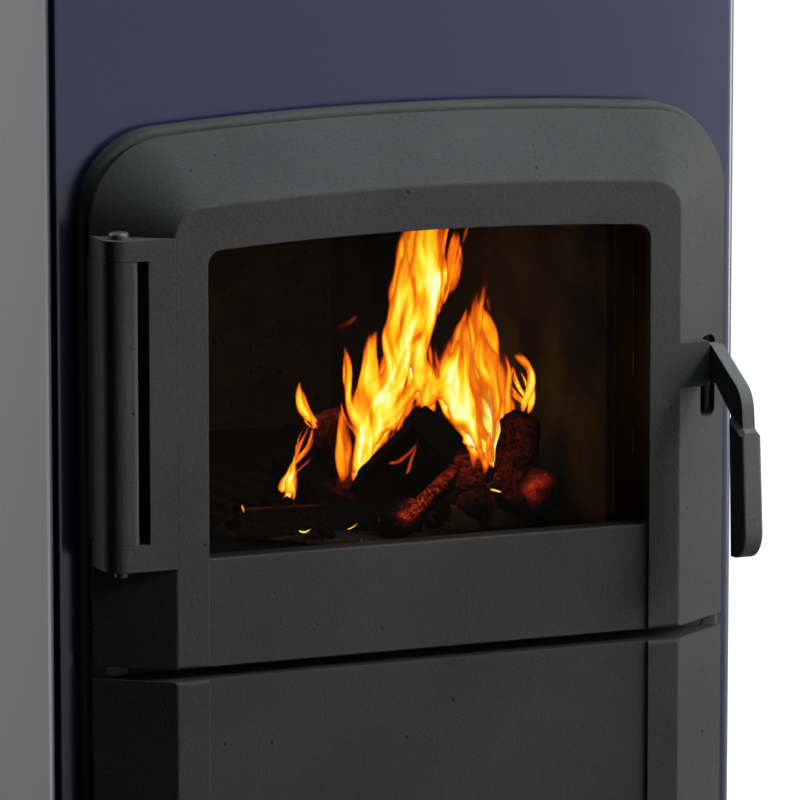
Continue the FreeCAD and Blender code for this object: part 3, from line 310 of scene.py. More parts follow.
def scaled_plate():
    """Hot-rolled steel: blue-grey scale, brown heat stain in blotches, soft rolling lines."""
    material, shader, place = start_finish("mill_scale", {"Metallic": 0.7})
    blotch = place.noise(22.0, 5.0, 0.62, 0.6)
    line = place.stretch(1.0, 14.0, 1.0).noise(60.0, 3.0)
    stain = place.noise(7.0, 3.0).ease(0.45, 0.7)
    colour = (blotch * 0.9 + line * 0.3 - 0.1).blend((0.035, 0.035, 0.038), (0.1, 0.1, 0.105))
    close_finish(shader, {
        "Base Color": (stain * 0.55).blend(colour, (0.07, 0.044, 0.024)),
        "Roughness": 0.42 + blotch * 0.3,
        "Normal": (blotch * 0.6 + line * 0.4).bump(0.0003, 0.3, rounded_edge(place, 0.0006)),
    })
    return material


def zinc_plate():
    """Zinc-plated steel: bright, slightly cloudy, with fine drawn lines."""
    material, shader, place = start_finish("zinc_plate", {"Metallic": 1.0})
    cloud = place.noise(160.0, 3.0)
    drawn = place.stretch(1.0, 1.0, 0.08).noise(2600.0, 1.0)
    close_finish(shader, {
        "Base Color": (cloud * 0.8 + drawn * 0.4 - 0.1).blend((0.2, 0.2, 0.195), (0.42, 0.42, 0.41)),
        "Roughness": 0.3 + cloud * 0.2,
        "Normal": drawn.bump(0.0001, 0.25, rounded_edge(place, 0.0004)),
    })
    return material


def blackened_steel():
    """Oil-blackened steel: dark, with a soft shine and worn lighter patches."""
    material, shader, place = start_finish("blackened_steel", {"Specular IOR Level": 0.3})
    rub = place.noise(180.0, 3.0)
    close_finish(shader, {
        "Base Color": rub.blend((0.012, 0.012, 0.013), (0.035, 0.035, 0.036)),
        "Roughness": 0.36 + rub * 0.2,
        "Normal": rub.bump(0.0002, 0.3, rounded_edge(place, 0.0004)),
    })
    return material


finishes["black_sheet"] = black_sheet()
finishes["blackened_steel"] = blackened_steel()
finishes["firebox_steel"] = scaled_plate()
finishes["bright_steel"] = zinc_plate()
print("steels ready")

# %% [markdown]
# ## Firebrick and glass
# The lining is pressed firebrick: olive brown, full of small dark pits and grog, and sooty where the
# smoke passes. The window is a clear ceramic glass. It is clear by a low alpha rather than by true
# refraction, so the fire behind it stays sharp and the exported model keeps it.


# %% Firebrick lining and window
def fire_brick():
    """Brown pressed clay with dark pits, pale grog, clouds of soot, and darker towards the right."""
    material, shader, place = start_finish("fire_brick", {"Specular IOR Level": 0.02})
    clay = place.noise(60.0, 5.0, 0.65)
    grog = place.chance(330.0)
    pit = (1.0 - place.cells(150.0).ease(0.1, 0.22)) * place.chance(150.0).ease(0.55, 0.65)
    soot = place.noise(6.5, 4.0, 0.55).ease(0.4, 0.72)
    colour = (clay * 0.9 + grog * 0.25 - 0.1).blend((0.086, 0.063, 0.018), (0.208, 0.154, 0.056))
    colour = (pit * 0.85).blend(colour, (0.012, 0.009, 0.006))
    # Soot clouds, plus a darkening that grows from x 0.02 to 0.14 towards the right.
    soot_and_right_darkening = soot * 0.8 + place.part("X").ease(0.02, 0.14) * 0.34
    close_finish(shader, {
        "Base Color": soot_and_right_darkening.blend(colour, (0.018, 0.014, 0.01)),
        "Roughness": 0.86 + (clay - 0.5) * 0.2,
        "Normal": (clay * 0.5 + grog * 0.15 - pit).bump(0.0009, 0.4),
    })
    return material


def stove_glass():
    """Clear ceramic glass with a faint brown haze in clouds."""
    material, shader, place = start_finish("stove_glass", {"IOR": 1.5, "Specular IOR Level": 0.12})
    haze = place.noise(16.0, 3.0, 0.6)
    close_finish(shader, {
        "Base Color": haze.blend((0.004, 0.0035, 0.003), (0.012, 0.009, 0.006)),
        "Roughness": 0.07 + haze * 0.05,
        "Alpha": 0.08 + haze * 0.06,
    })
    return material


finishes["firebrick"] = fire_brick()
finishes["window_glass"] = stove_glass()
print("lining and window ready")

# %% [markdown]
# ## Rope seals
# Each door shuts on a rope of knitted glass fibre that lies in a groove behind its rim. The solid is
# a plain ring. The rope that stands for it is a round profile carried along the groove's middle
# line, with two sets of strands that wind in opposite directions and pass over one another.


# %% Knitted rope finish
def knitted_rope():
    """Grey glass fibre: strands from the UV map, dark between them, sooty in patches."""
    material, shader, place = start_finish("knitted_rope", {"Sheen Weight": 0.2})
    lay = place.node("UVMap", {}, {}, "UV")
    fibre = lay.stretch(60.0, 4.0, 1.0).noise(9.0, 2.0)
    soot = place.noise(24.0, 3.0).ease(0.35, 0.7)
    colour = (fibre * 1.1 - 0.05).blend((0.05, 0.047, 0.043), (0.2, 0.19, 0.175))
    close_finish(shader, {
        "Base Color": (soot * 0.6).blend(colour, (0.03, 0.027, 0.024)),
        "Roughness": 0.85 + (fibre - 0.5) * 0.2,
        "Normal": fibre.bump(0.0006, 0.5),
    })
    return material


finishes["rope_seal"] = knitted_rope()

# %% [markdown]
# ## Closed skins from rings of points
# The new pieces are all skins over rings of points: a ring per step along a path, each ring running
# anticlockwise about the path. One function joins the rings of many tubes and closes their ends to
# a point, and takes a value for each point that a finish can read.


# %% Join rings into closed skins
def skin(name, rings, marks, uv, looped=False):
    """Mesh object from rings[tube, step, place, xyz].

    Each quad joins two places of one ring to the same two of the next. A looped tube's last ring
    joins its first. Any other tube gets a middle point at each end, with a fan of triangles to it.
    marks names an array of one value for each ring point, and uv holds two for each ring point.
    """
    count, steps, around, _ = rings.shape
    place = np.arange(around)
    ahead = (place + 1) % around
    row = np.arange(steps if looped else steps - 1)[:, None] * around
    above = (row + around) % (steps * around)
    quads = np.stack([row + place, row + ahead, above + ahead, above + place], -1).reshape(-1, 4)
    points = rings.reshape(count, -1, 3)
    values = {key: mark.reshape(count, -1) for key, mark in marks.items()}
    flat = uv.reshape(count, -1, 2)
    fans = np.zeros((0, 3), int)
    if not looped:
        last = (steps - 1) * around
        foot = np.stack([np.full(around, steps * around), ahead, place], -1)
        head = np.stack([np.full(around, steps * around + 1), last + place, last + ahead], -1)
        fans = np.concatenate([foot, head])
        ends = [slice(0, around), slice(last, last + around)]
        points = np.concatenate([points] + [points[:, e].mean(1, keepdims=True) for e in ends], 1)
        flat = np.concatenate([flat] + [flat[:, e].mean(1, keepdims=True) for e in ends], 1)
        values = {
            key: np.concatenate([mark] + [mark[:, e].mean(1, keepdims=True) for e in ends], 1)
            for key, mark in values.items()
        }
    shift = np.arange(count)[:, None, None] * points.shape[1]
    faces = (quads + shift).reshape(-1, 4).tolist() + (fans + shift).reshape(-1, 3).tolist()
    mesh = bpy.data.meshes.new(name)
    mesh.from_pydata(points.reshape(-1, 3).tolist(), [], faces)
    corners = np.zeros(len(mesh.loops), np.int32)
    mesh.loops.foreach_get("vertex_index", corners)
    mesh.uv_layers.new(name="lay").data.foreach_set("uv", flat.reshape(-1, 2)[corners].ravel())
    for key, mark in values.items():
        mesh.attributes.new(key, "FLOAT", "POINT").data.foreach_set("value", mark.ravel())
    mesh.polygons.foreach_set("use_smooth", np.ones(len(mesh.polygons), bool))
    piece = bpy.data.objects.new(name, mesh)
    bpy.context.collection.objects.link(piece)
    return piece


def unit(vectors):
    """Vectors scaled to length 1."""
    return vectors / np.linalg.norm(vectors, axis=-1, keepdims=True)


# %% [markdown]
# The groove's middle line is a rectangle with rounded corners. It is taken from the solid's own box,
# so the rope stays in its groove if the door changes. The rope is a little thinner than the groove.


# %% Lay the ropes
half_groove = 0.005
rope_share = 0.94
rope_steps, rope_around = 1100, 20
strand_pitch = 0.0056
uv_length = 0.03


def groove_line(low, high, foot_r, head_r, crown, count):
    """Points round a rectangle with round corners, evenly spaced along it, and their directions.

    The line is sampled corner by corner as arcs, joined by straight runs, then spaced by length.
    crown lowers the head by the drop of an arc of that radius.
    """
    corner_points = 12
    turn = np.linspace(0.0, np.pi / 2, corner_points)
    arcs = []
    for start, x, z, r in (
        (-np.pi / 2, high[0], low[2], foot_r),
        (0.0, high[0], high[2], head_r),
        (np.pi / 2, low[0], high[2], head_r),
        (np.pi, low[0], low[2], foot_r),
    ):
        side = np.sign(x) * r
        rise = r if z == low[2] else -r
        arcs.append(np.stack([x - side + r * np.cos(start + turn), z + rise + r * np.sin(start + turn)], -1))
    line = np.concatenate(arcs + [arcs[0][:1]])
    run = np.concatenate([[0.0], np.cumsum(np.linalg.norm(np.diff(line, axis=0), axis=1))])
    at = np.linspace(0.0, run[-1], count, endpoint=False)
    x = np.interp(at, run, line[:, 0])
    z = np.interp(at, run, line[:, 1])
    if crown:
        z = z - (z - low[2]) / (high[2] - low[2]) * x ** 2 / (2 * crown)
    middle = np.stack([x, np.full(count, (low[1] + high[1]) / 2), z], -1)
    along = unit(np.roll(middle, -1, 0) - np.roll(middle, 1, 0))
    return middle, along, at


def lay_rope(name, node, body, foot_r, head_r, crown):
    """Round rope in a groove: the radius swells where either of two crossing strands lies on top."""
    low, high = (np.array(corner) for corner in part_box(node))
    radius = (high[1] - low[1]) / 2 * rope_share
    inset = np.array([half_groove, 0.0, half_groove])
    middle, along, at = groove_line(low + inset, high - inset, foot_r, head_r, crown, rope_steps)
    back = np.tile([0.0, 1.0, 0.0], (len(middle), 1))
    across = np.cross(along, back)
    girth = np.linspace(0.0, 2 * np.pi, rope_around, endpoint=False)
    wind = at[:, None] / strand_pitch * np.pi
    one = np.abs(np.sin(2 * girth + wind))
    two = np.abs(np.sin(2 * girth - wind))
    swell = radius * (0.86 + 0.14 * np.maximum(one, two) ** 0.6)
    round_it = back[:, None] * np.cos(girth)[:, None] + across[:, None] * np.sin(girth)[:, None]
    rings = (middle[:, None] + swell[..., None] * round_it)[None]
    uv = np.stack(np.broadcast_arrays(girth / (2 * np.pi), at[:, None] / uv_length), -1)[None]
    rope = skin(name, rings, {}, uv, looped=True)
    rope.data.materials.append(finishes["rope_seal"])
    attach(rope, body)
    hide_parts(node)
    print(name, len(rope.data.polygons), "faces")


lay_rope("fire_door_rope", "fire_door_seal", "upper_door", 0.003, 0.0137, 1.96)
lay_rope("ash_door_rope", "ash_door_seal", "lower_door", 0.0137, 0.003, 0.0)

# %% [markdown]
# ## Charred wood
# The fire is a small pile of split logs, burnt black, with a dull red glow where the fire still eats
# into them. A log is a square with worn corners carried along its length. Sums of sine waves in random
# directions stand for uneven splitting, because they are smooth and cost little.


# %% Char and embers
def char_finish(name, ash_share, even):
    """Black char with fine cracks; the glow mark is red heat, partly even, partly in the cracks."""
    material, shader, place = start_finish(name, {"Specular IOR Level": 0.0, "Emission Strength": 1.0})
    glow = place.node("Attribute", {"attribute_name": "glow"}, {}, "Fac")
    warp = place.noise(160.0, 3.0, 0.6, 0.8)
    fine = place.noise(620.0, 3.0, 0.65)
    seam = 1.0 - place.math("ABSOLUTE", place.noise(240.0, 3.0, 0.6) * 2.0 - 1.0).ease(0.0, 0.22)
    heat = glow * (even + seam * 0.35 + (warp - 0.35) * 0.9 + (fine - 0.5) * 0.9)
    dusted = place.noise(90.0, 3.0).ease(0.56, 0.7) * ash_share
    colour = fine.blend((0.002, 0.0017, 0.0015), (0.009, 0.0075, 0.006))
    close_finish(shader, {
        "Base Color": dusted.blend(colour, (0.12, 0.105, 0.09)),
        "Roughness": 0.8 + (fine - 0.5) * 0.3,
        "Emission Color": heat.ramp(
            (0.1, (0.0, 0.0, 0.0)),
            (0.3, (0.05, 0.003, 0.001)),
            (0.55, (0.3, 0.018, 0.006)),
            (0.8, (0.9, 0.12, 0.012)),
            (1.0, (1.0, 0.5, 0.06)),
        ),
        "Normal": (fine * 0.5 + warp * 0.5 - seam * 0.6).bump(0.0016, 0.7),
    })
    return material


char = char_finish("charred_wood", 0.01, 0.1)
cinder = char_finish("cinders", 0.3, 0.1)


# %% Split the logs
wave_count = 14
log_steps, log_around = 70, 96
log_power = 16
end_shrink = [0.2, 0.5, 0.8, 0.96]


def ripple(points, scale, seed):
    """Sum of sine waves that run in random directions, divided by its usual size."""
    draw = np.random.default_rng(seed)
    waves = draw.normal(size=(wave_count, points.shape[-1])) * scale
    phase = draw.uniform(0.0, 2 * np.pi, wave_count)
    return np.sin(points @ waves.T + phase).sum(-1) / np.sqrt(wave_count / 2)


def line_glow(points, start, end, spread):
    """1 on the line from start to end, falling off as a bell of the given spread."""
    start, end = np.array(start), np.array(end)
    run = end - start
    share = np.clip(((points - start) @ run) / (run @ run), 0.0, 1.0)
    off = np.linalg.norm(points - start - share[..., None] * run, axis=-1)
    return np.exp(-((off / spread) ** 2))


def lay_log(name, foot, head, half, roll, seed, wear, heat, start, end, spread):
    """Split log: a square with worn corners carried from foot to head, uneven along its length.

    In the plane across the log a point lies at half times (|cos|^n + |sin|^n)^(-1/n) from the middle,
    n being log_power, times 1 plus wear times the ripples. The rings at each end shrink to close it.
    The glow is heat times a bell about the line from start to end.
    """
    foot, head = np.array(foot), np.array(head)
    along = unit(head - foot)
    side = unit(np.cross(along, [0.0, 0.0, 1.0]))
    rise = np.cross(along, side)
    turn = np.linspace(0.0, 2 * np.pi, log_around, endpoint=False)
    square = (np.abs(np.cos(turn)) ** log_power + np.abs(np.sin(turn)) ** log_power) ** (-1 / log_power)
    ends = len(end_shrink)
    step = np.concatenate([[0.0] * ends, np.linspace(0.0, 1.0, log_steps), [1.0] * ends])
    shrink = np.concatenate([end_shrink, np.ones(log_steps), end_shrink[::-1]])
    spin = turn + roll
    out = side * np.cos(spin)[:, None] + rise * np.sin(spin)[:, None]
    bare = foot + (head - foot) * step[:, None, None] + half * square[:, None] * out
    uneven = 1.0 + wear * (0.07 * ripple(bare, 50.0, seed) + 0.04 * ripple(bare, 200.0, seed + 1))
    splinter = wear * 0.03 * np.sin(13 * turn + 2.0 * ripple(bare, 35.0, seed + 2)) ** 3
    size = half * square * (uneven + splinter) * shrink[:, None]
    slip = wear * 0.1 * half * ripple(bare, 160.0, seed + 3) * (step * 2 - 1)[:, None] ** 8
    rings = foot + (head - foot) * step[:, None, None] + size[..., None] * out + slip[..., None] * along
    glow = heat * line_glow(rings, start, end, spread)
    uv = np.stack(np.broadcast_arrays(turn / (2 * np.pi), step[:, None]), -1)
    log = skin(name, rings[None], {"glow": glow[None]}, uv[None])
    log.data.materials.append(char)
    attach(log, "stove_body")


lay_log(
    "log_leaning", (0.0199, -0.1451, 0.4232), (0.0474, -0.1819, 0.4674), 0.0159, 0.392, 3, 0.35,
    0.4, (0.014, -0.15, 0.44), (0.038, -0.178, 0.482), 0.005,
)
lay_log(
    "log_left", (0.040, -0.020, 0.420), (0.0052, -0.098, 0.4419), 0.0155, 0.3, 11, 1.3,
    0.75, (0.0022, -0.092, 0.4579), (0.0262, -0.084, 0.4639), 0.012,
)
lay_log(
    "log_low", (0.042, -0.166, 0.412), (-0.066, -0.136, 0.411), 0.0102, 0.1, 23, 0.8,
    0.9, (-0.062, -0.140, 0.4225), (-0.022, -0.151, 0.4235), 0.0035,
)
lay_log(
    "log_right", (0.121, -0.126, 0.402), (0.1235, -0.134, 0.464), 0.0108, 0.5, 31, 1.3,
    0.5, (0.112, -0.140, 0.440), (0.116, -0.144, 0.466), 0.017,
)
lay_log(
    "log_back", (-0.010, -0.066, 0.417), (0.124, -0.074, 0.418), 0.0155, 0.1, 41, 1.2,
    0.8, (0.03, -0.085, 0.430), (0.11, -0.09, 0.430), 0.02,
)
lay_log(
    "log_front", (0.014, -0.184, 0.4105), (0.0640, -0.152, 0.4345), 0.0080, 0.45, 53, 1.0,
    1.25, (0.024, -0.190, 0.4215), (0.062, -0.164, 0.4420), 0.008,
)
print("logs laid")

# %% [markdown]
# Cinders lie round the logs on a thin bed of ash. They are rounded lumps, each a ball of rings
# squeezed by its own three sizes and roughened with the same ripples. Two small heaps of them cling to
# the logs, one larger ember glows at the right, and the bed is one wide flat lump.


# %% Scatter the cinders
def lumps(middles, sizes, seed, rough, steps=14, around=18):
    """Many rounded lumps: ring radius sin, height minus cos, scaled by each lump's sizes and ripples."""
    pole = 0.12
    fall = np.linspace(pole, np.pi - pole, steps)[:, None]
    turn = np.linspace(0.0, 2 * np.pi, around, endpoint=False)
    level = np.broadcast_to(-np.cos(fall), (steps, around))
    ball = np.stack([np.sin(fall) * np.cos(turn), np.sin(fall) * np.sin(turn), level], -1)
    apart = 40.0
    bare = middles[:, None, None] * apart + ball
    uneven = 1.0 + rough * ripple(bare, 1.6, seed) + 0.5 * rough * ripple(bare, 5.0, seed + 1)
    rings = middles[:, None, None] + ball * uneven[..., None] * sizes[:, None, None]
    uv = np.stack(np.broadcast_arrays(turn / (2 * np.pi), fall / np.pi), -1)
    return rings, np.broadcast_to(uv, rings.shape[:3] + (2,))


def scatter(draw, count, middle, spread):
    """Random places about a middle."""
    return draw.normal(size=(count, len(middle))) * np.array(spread) + np.array(middle)


bed_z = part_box("grate")[1].z
draw = np.random.default_rng(7)
count = 110
strewn = np.clip(
    scatter(draw, count, (0.055, -0.108), (0.045, 0.030)), [-0.075, -0.19], [0.128, -0.04]
)
sizes = draw.uniform(0.003, 0.0085, (count, 1)) * draw.uniform(0.7, 1.2, (count, 3))
strewn = np.column_stack([strewn, bed_z + 0.004 + sizes[:, 2] * draw.uniform(0.6, 1.5, count)])
left_heap = scatter(draw, 26, (0.0142, -0.090, 0.4589), (0.008, 0.005, 0.005))
right_heap = scatter(draw, 14, (0.114, -0.143, 0.427), (0.007, 0.005, 0.005))
middles = np.concatenate([strewn, left_heap, right_heap])
heaped = len(left_heap) + len(right_heap)
sizes = np.concatenate([sizes, draw.uniform(0.0025, 0.0065, (heaped, 3))])
rings, uv = lumps(middles, sizes, 5, 0.22)
warmth = line_glow(rings, (0.0042, -0.092, 0.4619), (0.0302, -0.088, 0.4679), 0.013) * 0.75
warmth = np.maximum(warmth, 0.7 * line_glow(rings, (0.03, -0.12, 0.425), (0.115, -0.14, 0.428), 0.018))
cinders = skin("cinders", rings, {"glow": warmth}, uv)
cinders.data.materials.append(cinder)
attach(cinders, "stove_body")

chunk_at = np.array([[0.1255, -0.156, 0.4195]])
rings, uv = lumps(chunk_at, np.array([[0.0145, 0.012, 0.0165]]), 17, 0.12, 40, 48)
warmth = line_glow(rings, (0.112, -0.166, 0.424), (0.122, -0.164, 0.434), 0.011)
chunk = skin("red_chunk", rings, {"glow": warmth * 0.56}, uv)
chunk.data.materials.append(char_finish("red_ember", 0.0, 0.6))
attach(chunk, "stove_body")
print("cinders", len(middles) + 1)


# %% Spread the ash
def wood_ash():
    """Grey-brown powder with darker crumbs, and a dull glow under the fire."""
    material, shader, place = start_finish("wood_ash", {"Specular IOR Level": 0.1, "Emission Strength": 1.0})
    powder = place.noise(120.0, 5.0, 0.7)
    crumb = place.noise(420.0, 2.0).ease(0.5, 0.7)
    glow = place.node("Attribute", {"attribute_name": "glow"}, {}, "Fac")
    colour = (powder * 1.2 - 0.1).blend((0.02, 0.016, 0.012), (0.08, 0.062, 0.04))
    close_finish(shader, {
        "Base Color": (crumb * 0.7).blend(colour, (0.014, 0.011, 0.009)),
        "Roughness": 0.9 + (powder - 0.5) * 0.1,
        "Emission Color": (glow * powder).ramp((0.25, (0.0, 0.0, 0.0)), (0.8, (0.2, 0.012, 0.003))),
        "Normal": (powder * 0.7 + crumb * 0.3).bump(0.002, 0.8),
    })
    return material


rings, uv = lumps(np.array([[0.04, -0.108, bed_z]]), np.array([[0.1, 0.072, 0.011]]), 29, 0.12, 60, 120)
rings[..., 2] = np.maximum(rings[..., 2], bed_z + 0.0004)
warmth = line_glow(rings, (0.03, -0.11, bed_z), (0.1, -0.11, bed_z), 0.03)
ash = skin("ash_bed", rings, {"glow": warmth}, uv)
ash.data.materials.append(wood_ash())
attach(ash, "stove_body")
print("ash spread")

# %% [markdown]
# ## Flames
# A flame is hot gas without a surface. Here it is a thin pillow that stands in the firebox, with a heat
# worked out for each of its points: many narrow tongues add up, each hottest along its middle and along
# one edge, all bent and streaked by the same rising draught. The finish turns heat into light, from dull
# red through orange and yellow to nearly white, and lets the cold parts vanish. The front and the back
# of the pillow have tongues of their own, so the fire has depth through an open door too.


# %% Flame finish
def flame_finish():
    """Emission by heat, streaked along the draught; the veil mark is how much hides what lies behind."""
    black = (0.0, 0.0, 0.0, 1.0)
    material, shader, place = start_finish("flame", {
        "Base Color": black, "Specular IOR Level": 0.0, "Roughness": 1.0, "Emission Strength": 1.35,
    })
    heat = place.node("Attribute", {"attribute_name": "warmth"}, {}, "Fac")
    veil = place.node("Attribute", {"attribute_name": "veil"}, {}, "Fac")
    streak = place.stretch(1.0, 1.0, 0.2).noise(330.0, 3.0, 0.6, 0.4)
    warm = heat * (0.62 + streak * 0.6)
    close_finish(shader, {
        "Emission Color": warm.ramp(
            (0.0, (0.02, 0.0, 0.0)),
            (0.12, (0.2, 0.01, 0.001)),
            (0.27, (0.8, 0.11, 0.003)),
            (0.44, (1.0, 0.3, 0.004)),
            (0.64, (1.0, 0.58, 0.01)),
            (0.84, (1.0, 0.84, 0.08)),
            (1.0, (1.0, 0.98, 0.55)),
        ),
        "Alpha": (veil * (0.7 + streak * 0.6)).ease(0.0, 1.0),
    })
    return material


flame = flame_finish()

# %% [markdown]
# The tongues are listed: four places across, the four heights that go with them, half a width
# and a heat. Each is followed by two thinner ones that stray further from it.

# %% Place the tongues
tongues = np.array([
    (0.0440, 0.0520, 0.0560, 0.0660, 0.4790, 0.5040, 0.5250, 0.5650, 0.0082, 1.25),
    (0.0413, 0.0453, 0.0506, 0.0535, 0.4862, 0.5214, 0.5586, 0.6085, 0.0071, 0.62),
    (0.0600, 0.0640, 0.0720, 0.0850, 0.4887, 0.5196, 0.5503, 0.6081, 0.0078, 0.66),
    (0.0313, 0.0424, 0.0564, 0.0657, 0.4660, 0.4986, 0.5206, 0.5439, 0.0067, 0.85),
    (0.0568, 0.0624, 0.0679, 0.0735, 0.5352, 0.5556, 0.5782, 0.6112, 0.0160, 0.55),
    (0.0479, 0.0535, 0.0557, 0.0568, 0.5212, 0.5479, 0.5707, 0.6082, 0.0089, 0.50),
    (0.0135, 0.0204, 0.0131, 0.0089, 0.4277, 0.4585, 0.4966, 0.5220, 0.0044, 0.80),
    (0.0195, 0.0240, 0.0302, 0.0328, 0.4293, 0.4645, 0.4974, 0.5286, 0.0080, 0.62),
    (0.0262, 0.0346, 0.0413, 0.0462, 0.4351, 0.4679, 0.4862, 0.5067, 0.0080, 0.75),
    (0.0306, 0.0368, 0.0439, 0.0564, 0.4452, 0.4646, 0.4766, 0.4893, 0.0089, 1.00),
    (0.0075, 0.0097, 0.0120, 0.0137, 0.4281, 0.4467, 0.4633, 0.4798, 0.0067, 0.55),
    (0.0180, 0.0246, 0.0324, 0.0380, 0.4253, 0.4477, 0.4660, 0.4927, 0.0124, 0.50),
    (0.0924, 0.0835, 0.0808, 0.0884, 0.4595, 0.4873, 0.5084, 0.5276, 0.0080, 0.48),
    (0.1061, 0.0995, 0.0973, 0.1046, 0.4397, 0.4694, 0.4988, 0.5515, 0.0089, 0.53),
    (0.1128, 0.1101, 0.1013, 0.0928, 0.4298, 0.4561, 0.4860, 0.5054, 0.0080, 0.46),
    (0.1217, 0.1164, 0.1119, 0.1101, 0.4615, 0.4807, 0.4977, 0.5229, 0.0067, 0.38),
    (0.1119, 0.1021, 0.0915, 0.0835, 0.4284, 0.4421, 0.4575, 0.4727, 0.0058, 0.85),
    (0.0990, 0.0890, 0.0768, 0.0635, 0.4402, 0.4639, 0.4805, 0.4971, 0.0058, 0.85),
    (0.0857, 0.0795, 0.0742, 0.0724, 0.4621, 0.4876, 0.5047, 0.5194, 0.0093, 0.50),
    (0.1150, 0.1155, 0.1101, 0.1057, 0.4453, 0.4641, 0.4812, 0.4982, 0.0076, 0.42),
    (0.0946, 0.0950, 0.0950, 0.0990, 0.4468, 0.4739, 0.4990, 0.5258, 0.0173, 0.34),
    (0.0724, 0.0657, 0.0613, 0.0568, 0.4693, 0.4886, 0.5014, 0.5205, 0.0098, 0.60),
    (0.1013, 0.1004, 0.0968, 0.0946, 0.4265, 0.4401, 0.4529, 0.4698, 0.0076, 0.60),
    (0.0413, 0.0502, 0.0591, 0.0657, 0.4549, 0.4709, 0.4828, 0.5011, 0.0102, 0.60),
    (0.1102, 0.1024, 0.0916, 0.1073, 0.4448, 0.4895, 0.5197, 0.5489, 0.0110, 0.58),
    (0.1121, 0.1112, 0.1024, 0.0994, 0.4631, 0.4961, 0.5226, 0.5540, 0.0090, 0.46),
    (0.0770, 0.0799, 0.0828, 0.0887, 0.4767, 0.4880, 0.4990, 0.5130, 0.0120, 0.52),
    (0.1110, 0.1150, 0.1100, 0.1030, 0.4590, 0.4770, 0.4884, 0.5111, 0.0080, 0.50),
    (0.1112, 0.1073, 0.1004, 0.0916, 0.4300, 0.4450, 0.4529, 0.4664, 0.0080, 0.85),
    (0.0867, 0.0906, 0.0946, 0.0985, 0.4650, 0.4830, 0.5011, 0.5155, 0.0130, 0.50),
    (-0.0101, -0.0146, -0.0173, -0.0177, 0.4655, 0.4723, 0.4807, 0.4933, 0.0046, 1.15),
    (-0.0261, -0.0218, -0.0165, -0.0101, 0.4263, 0.4416, 0.4541, 0.4697, 0.0024, 1.00),
    (-0.0257, -0.0243, -0.0218, -0.0179, 0.4240, 0.4316, 0.4370, 0.4409, 0.0058, 1.20),
    (0.1322, 0.1350, 0.1306, 0.1205, 0.4632, 0.4795, 0.4927, 0.5068, 0.0029, 1.05),
    (0.1336, 0.1287, 0.1232, 0.1193, 0.4686, 0.4772, 0.4841, 0.4967, 0.0022, 1.00),
    (0.0062, 0.0085, 0.0144, 0.0218, 0.5145, 0.5257, 0.5317, 0.5397, 0.0120, 0.10),
    (0.0640, 0.0690, 0.0720, 0.0760, 0.5100, 0.5400, 0.5650, 0.6100, 0.0120, 0.55),
    (0.0328, 0.0308, 0.0324, 0.0363, 0.4775, 0.4931, 0.5085, 0.5256, 0.0046, 0.62),
    (0.0406, 0.0402, 0.0422, 0.0461, 0.4843, 0.4989, 0.5134, 0.5350, 0.0055, 0.55),
    (0.0719, 0.0782, 0.0833, 0.0884, 0.4794, 0.4909, 0.5052, 0.5223, 0.0055, 0.58),
    (0.1004, 0.1037, 0.1049, 0.1121, 0.5115, 0.5278, 0.5423, 0.5693, 0.0056, 0.46),
    (0.0742, 0.0793, 0.0840, 0.0924, 0.5296, 0.5439, 0.5582, 0.5905, 0.0062, 0.60),
])


# %% Heat of the fire
strays = (0.0006, 0.0020, 0.0020)
usual_half_width = 0.009


def smooth(value, low, high):
    """Smooth step from 0 at low to 1 at high."""
    share = np.clip((value - low) / (high - low), 0.0, 1.0)
    return share * share * (3 - 2 * share)


def middle_line(z, places, heights):
    """The cubic through four places, as a function of height: Lagrange's sum of products."""
    line = np.zeros_like(z)
    for k in range(4):
        others = [j for j in range(4) if j != k]
        line += places[k] * np.prod([(z - heights[j]) / (heights[k] - heights[j]) for j in others], axis=0)
    return line


def fire_heat(x, z, seed):
    """Heat and veil at each place of the fire.

    Across a tongue heat falls as (1 - s^2)^1.3, s being the distance from its middle line in half
    widths, plus a bell at one edge. Along it heat fades in over the first seventh and out over the last
    half. The tongues add up, ripples streak the sum, and 1 - exp(-sum) keeps it in bounds.
    """
    draw = np.random.default_rng(40 + seed)
    flow = np.stack([x, z * 0.45], -1)
    blown = x + 0.0022 * ripple(flow, 85.0, 60 + seed) + 0.0012 * ripple(flow, 240.0, 70 + seed)
    strand = np.stack([blown, z * 0.16], -1)
    fine = 0.6 * ripple(strand, 420.0, 80 + seed) + 0.5 * ripple(strand, 900.0, 90 + seed)
    broad = ripple(np.stack([blown, z * 0.35], -1), 150.0, 95 + seed)
    total = np.zeros_like(x)
    for tongue in tongues:
        half_width, hottest = tongue[8:]
        for stray in strays:
            main = stray == strays[0]
            roam = stray * min(1.0, half_width / usual_half_width)
            places = tongue[:4] + draw.normal(size=4) * roam
            heights = tongue[4:8] + draw.normal() * roam * 3
            heights = heights[0] + (heights - heights[0]) * (1.0 if main else draw.uniform(0.6, 1.1))
            width = half_width * (1.05 if main else draw.uniform(0.3, 0.7))
            heat = hottest * (1.0 if main else draw.uniform(0.45, 1.05))
            t = np.clip((z - heights[0]) / (heights[3] - heights[0]), 0.0, 1.0)
            line = middle_line(np.clip(z, heights[0], heights[3]), places, heights)
            s = (blown - line) / (width * 1.25 * (t + 0.03) ** 0.3 * (1.001 - t) ** 0.55)
            fill = np.clip(1 - s * s, 0.0, 1.0)
            edge = np.exp(-(((s * np.sign(draw.normal()) - 0.5) / 0.25) ** 2)) * fill ** 0.5
            fade = smooth(t, 0.0, 0.14) * (1 - smooth(t, 0.55, 1.0))
            total += heat * fade * (0.5 * fill ** 1.3 + 0.3 * edge)
    lively = total * np.maximum(0.3, 1.0 + 0.42 * fine + 0.44 * broad)
    return 1.15 * (1 - np.exp(-0.9 * lively)), smooth(lively, 0.04, 0.36)


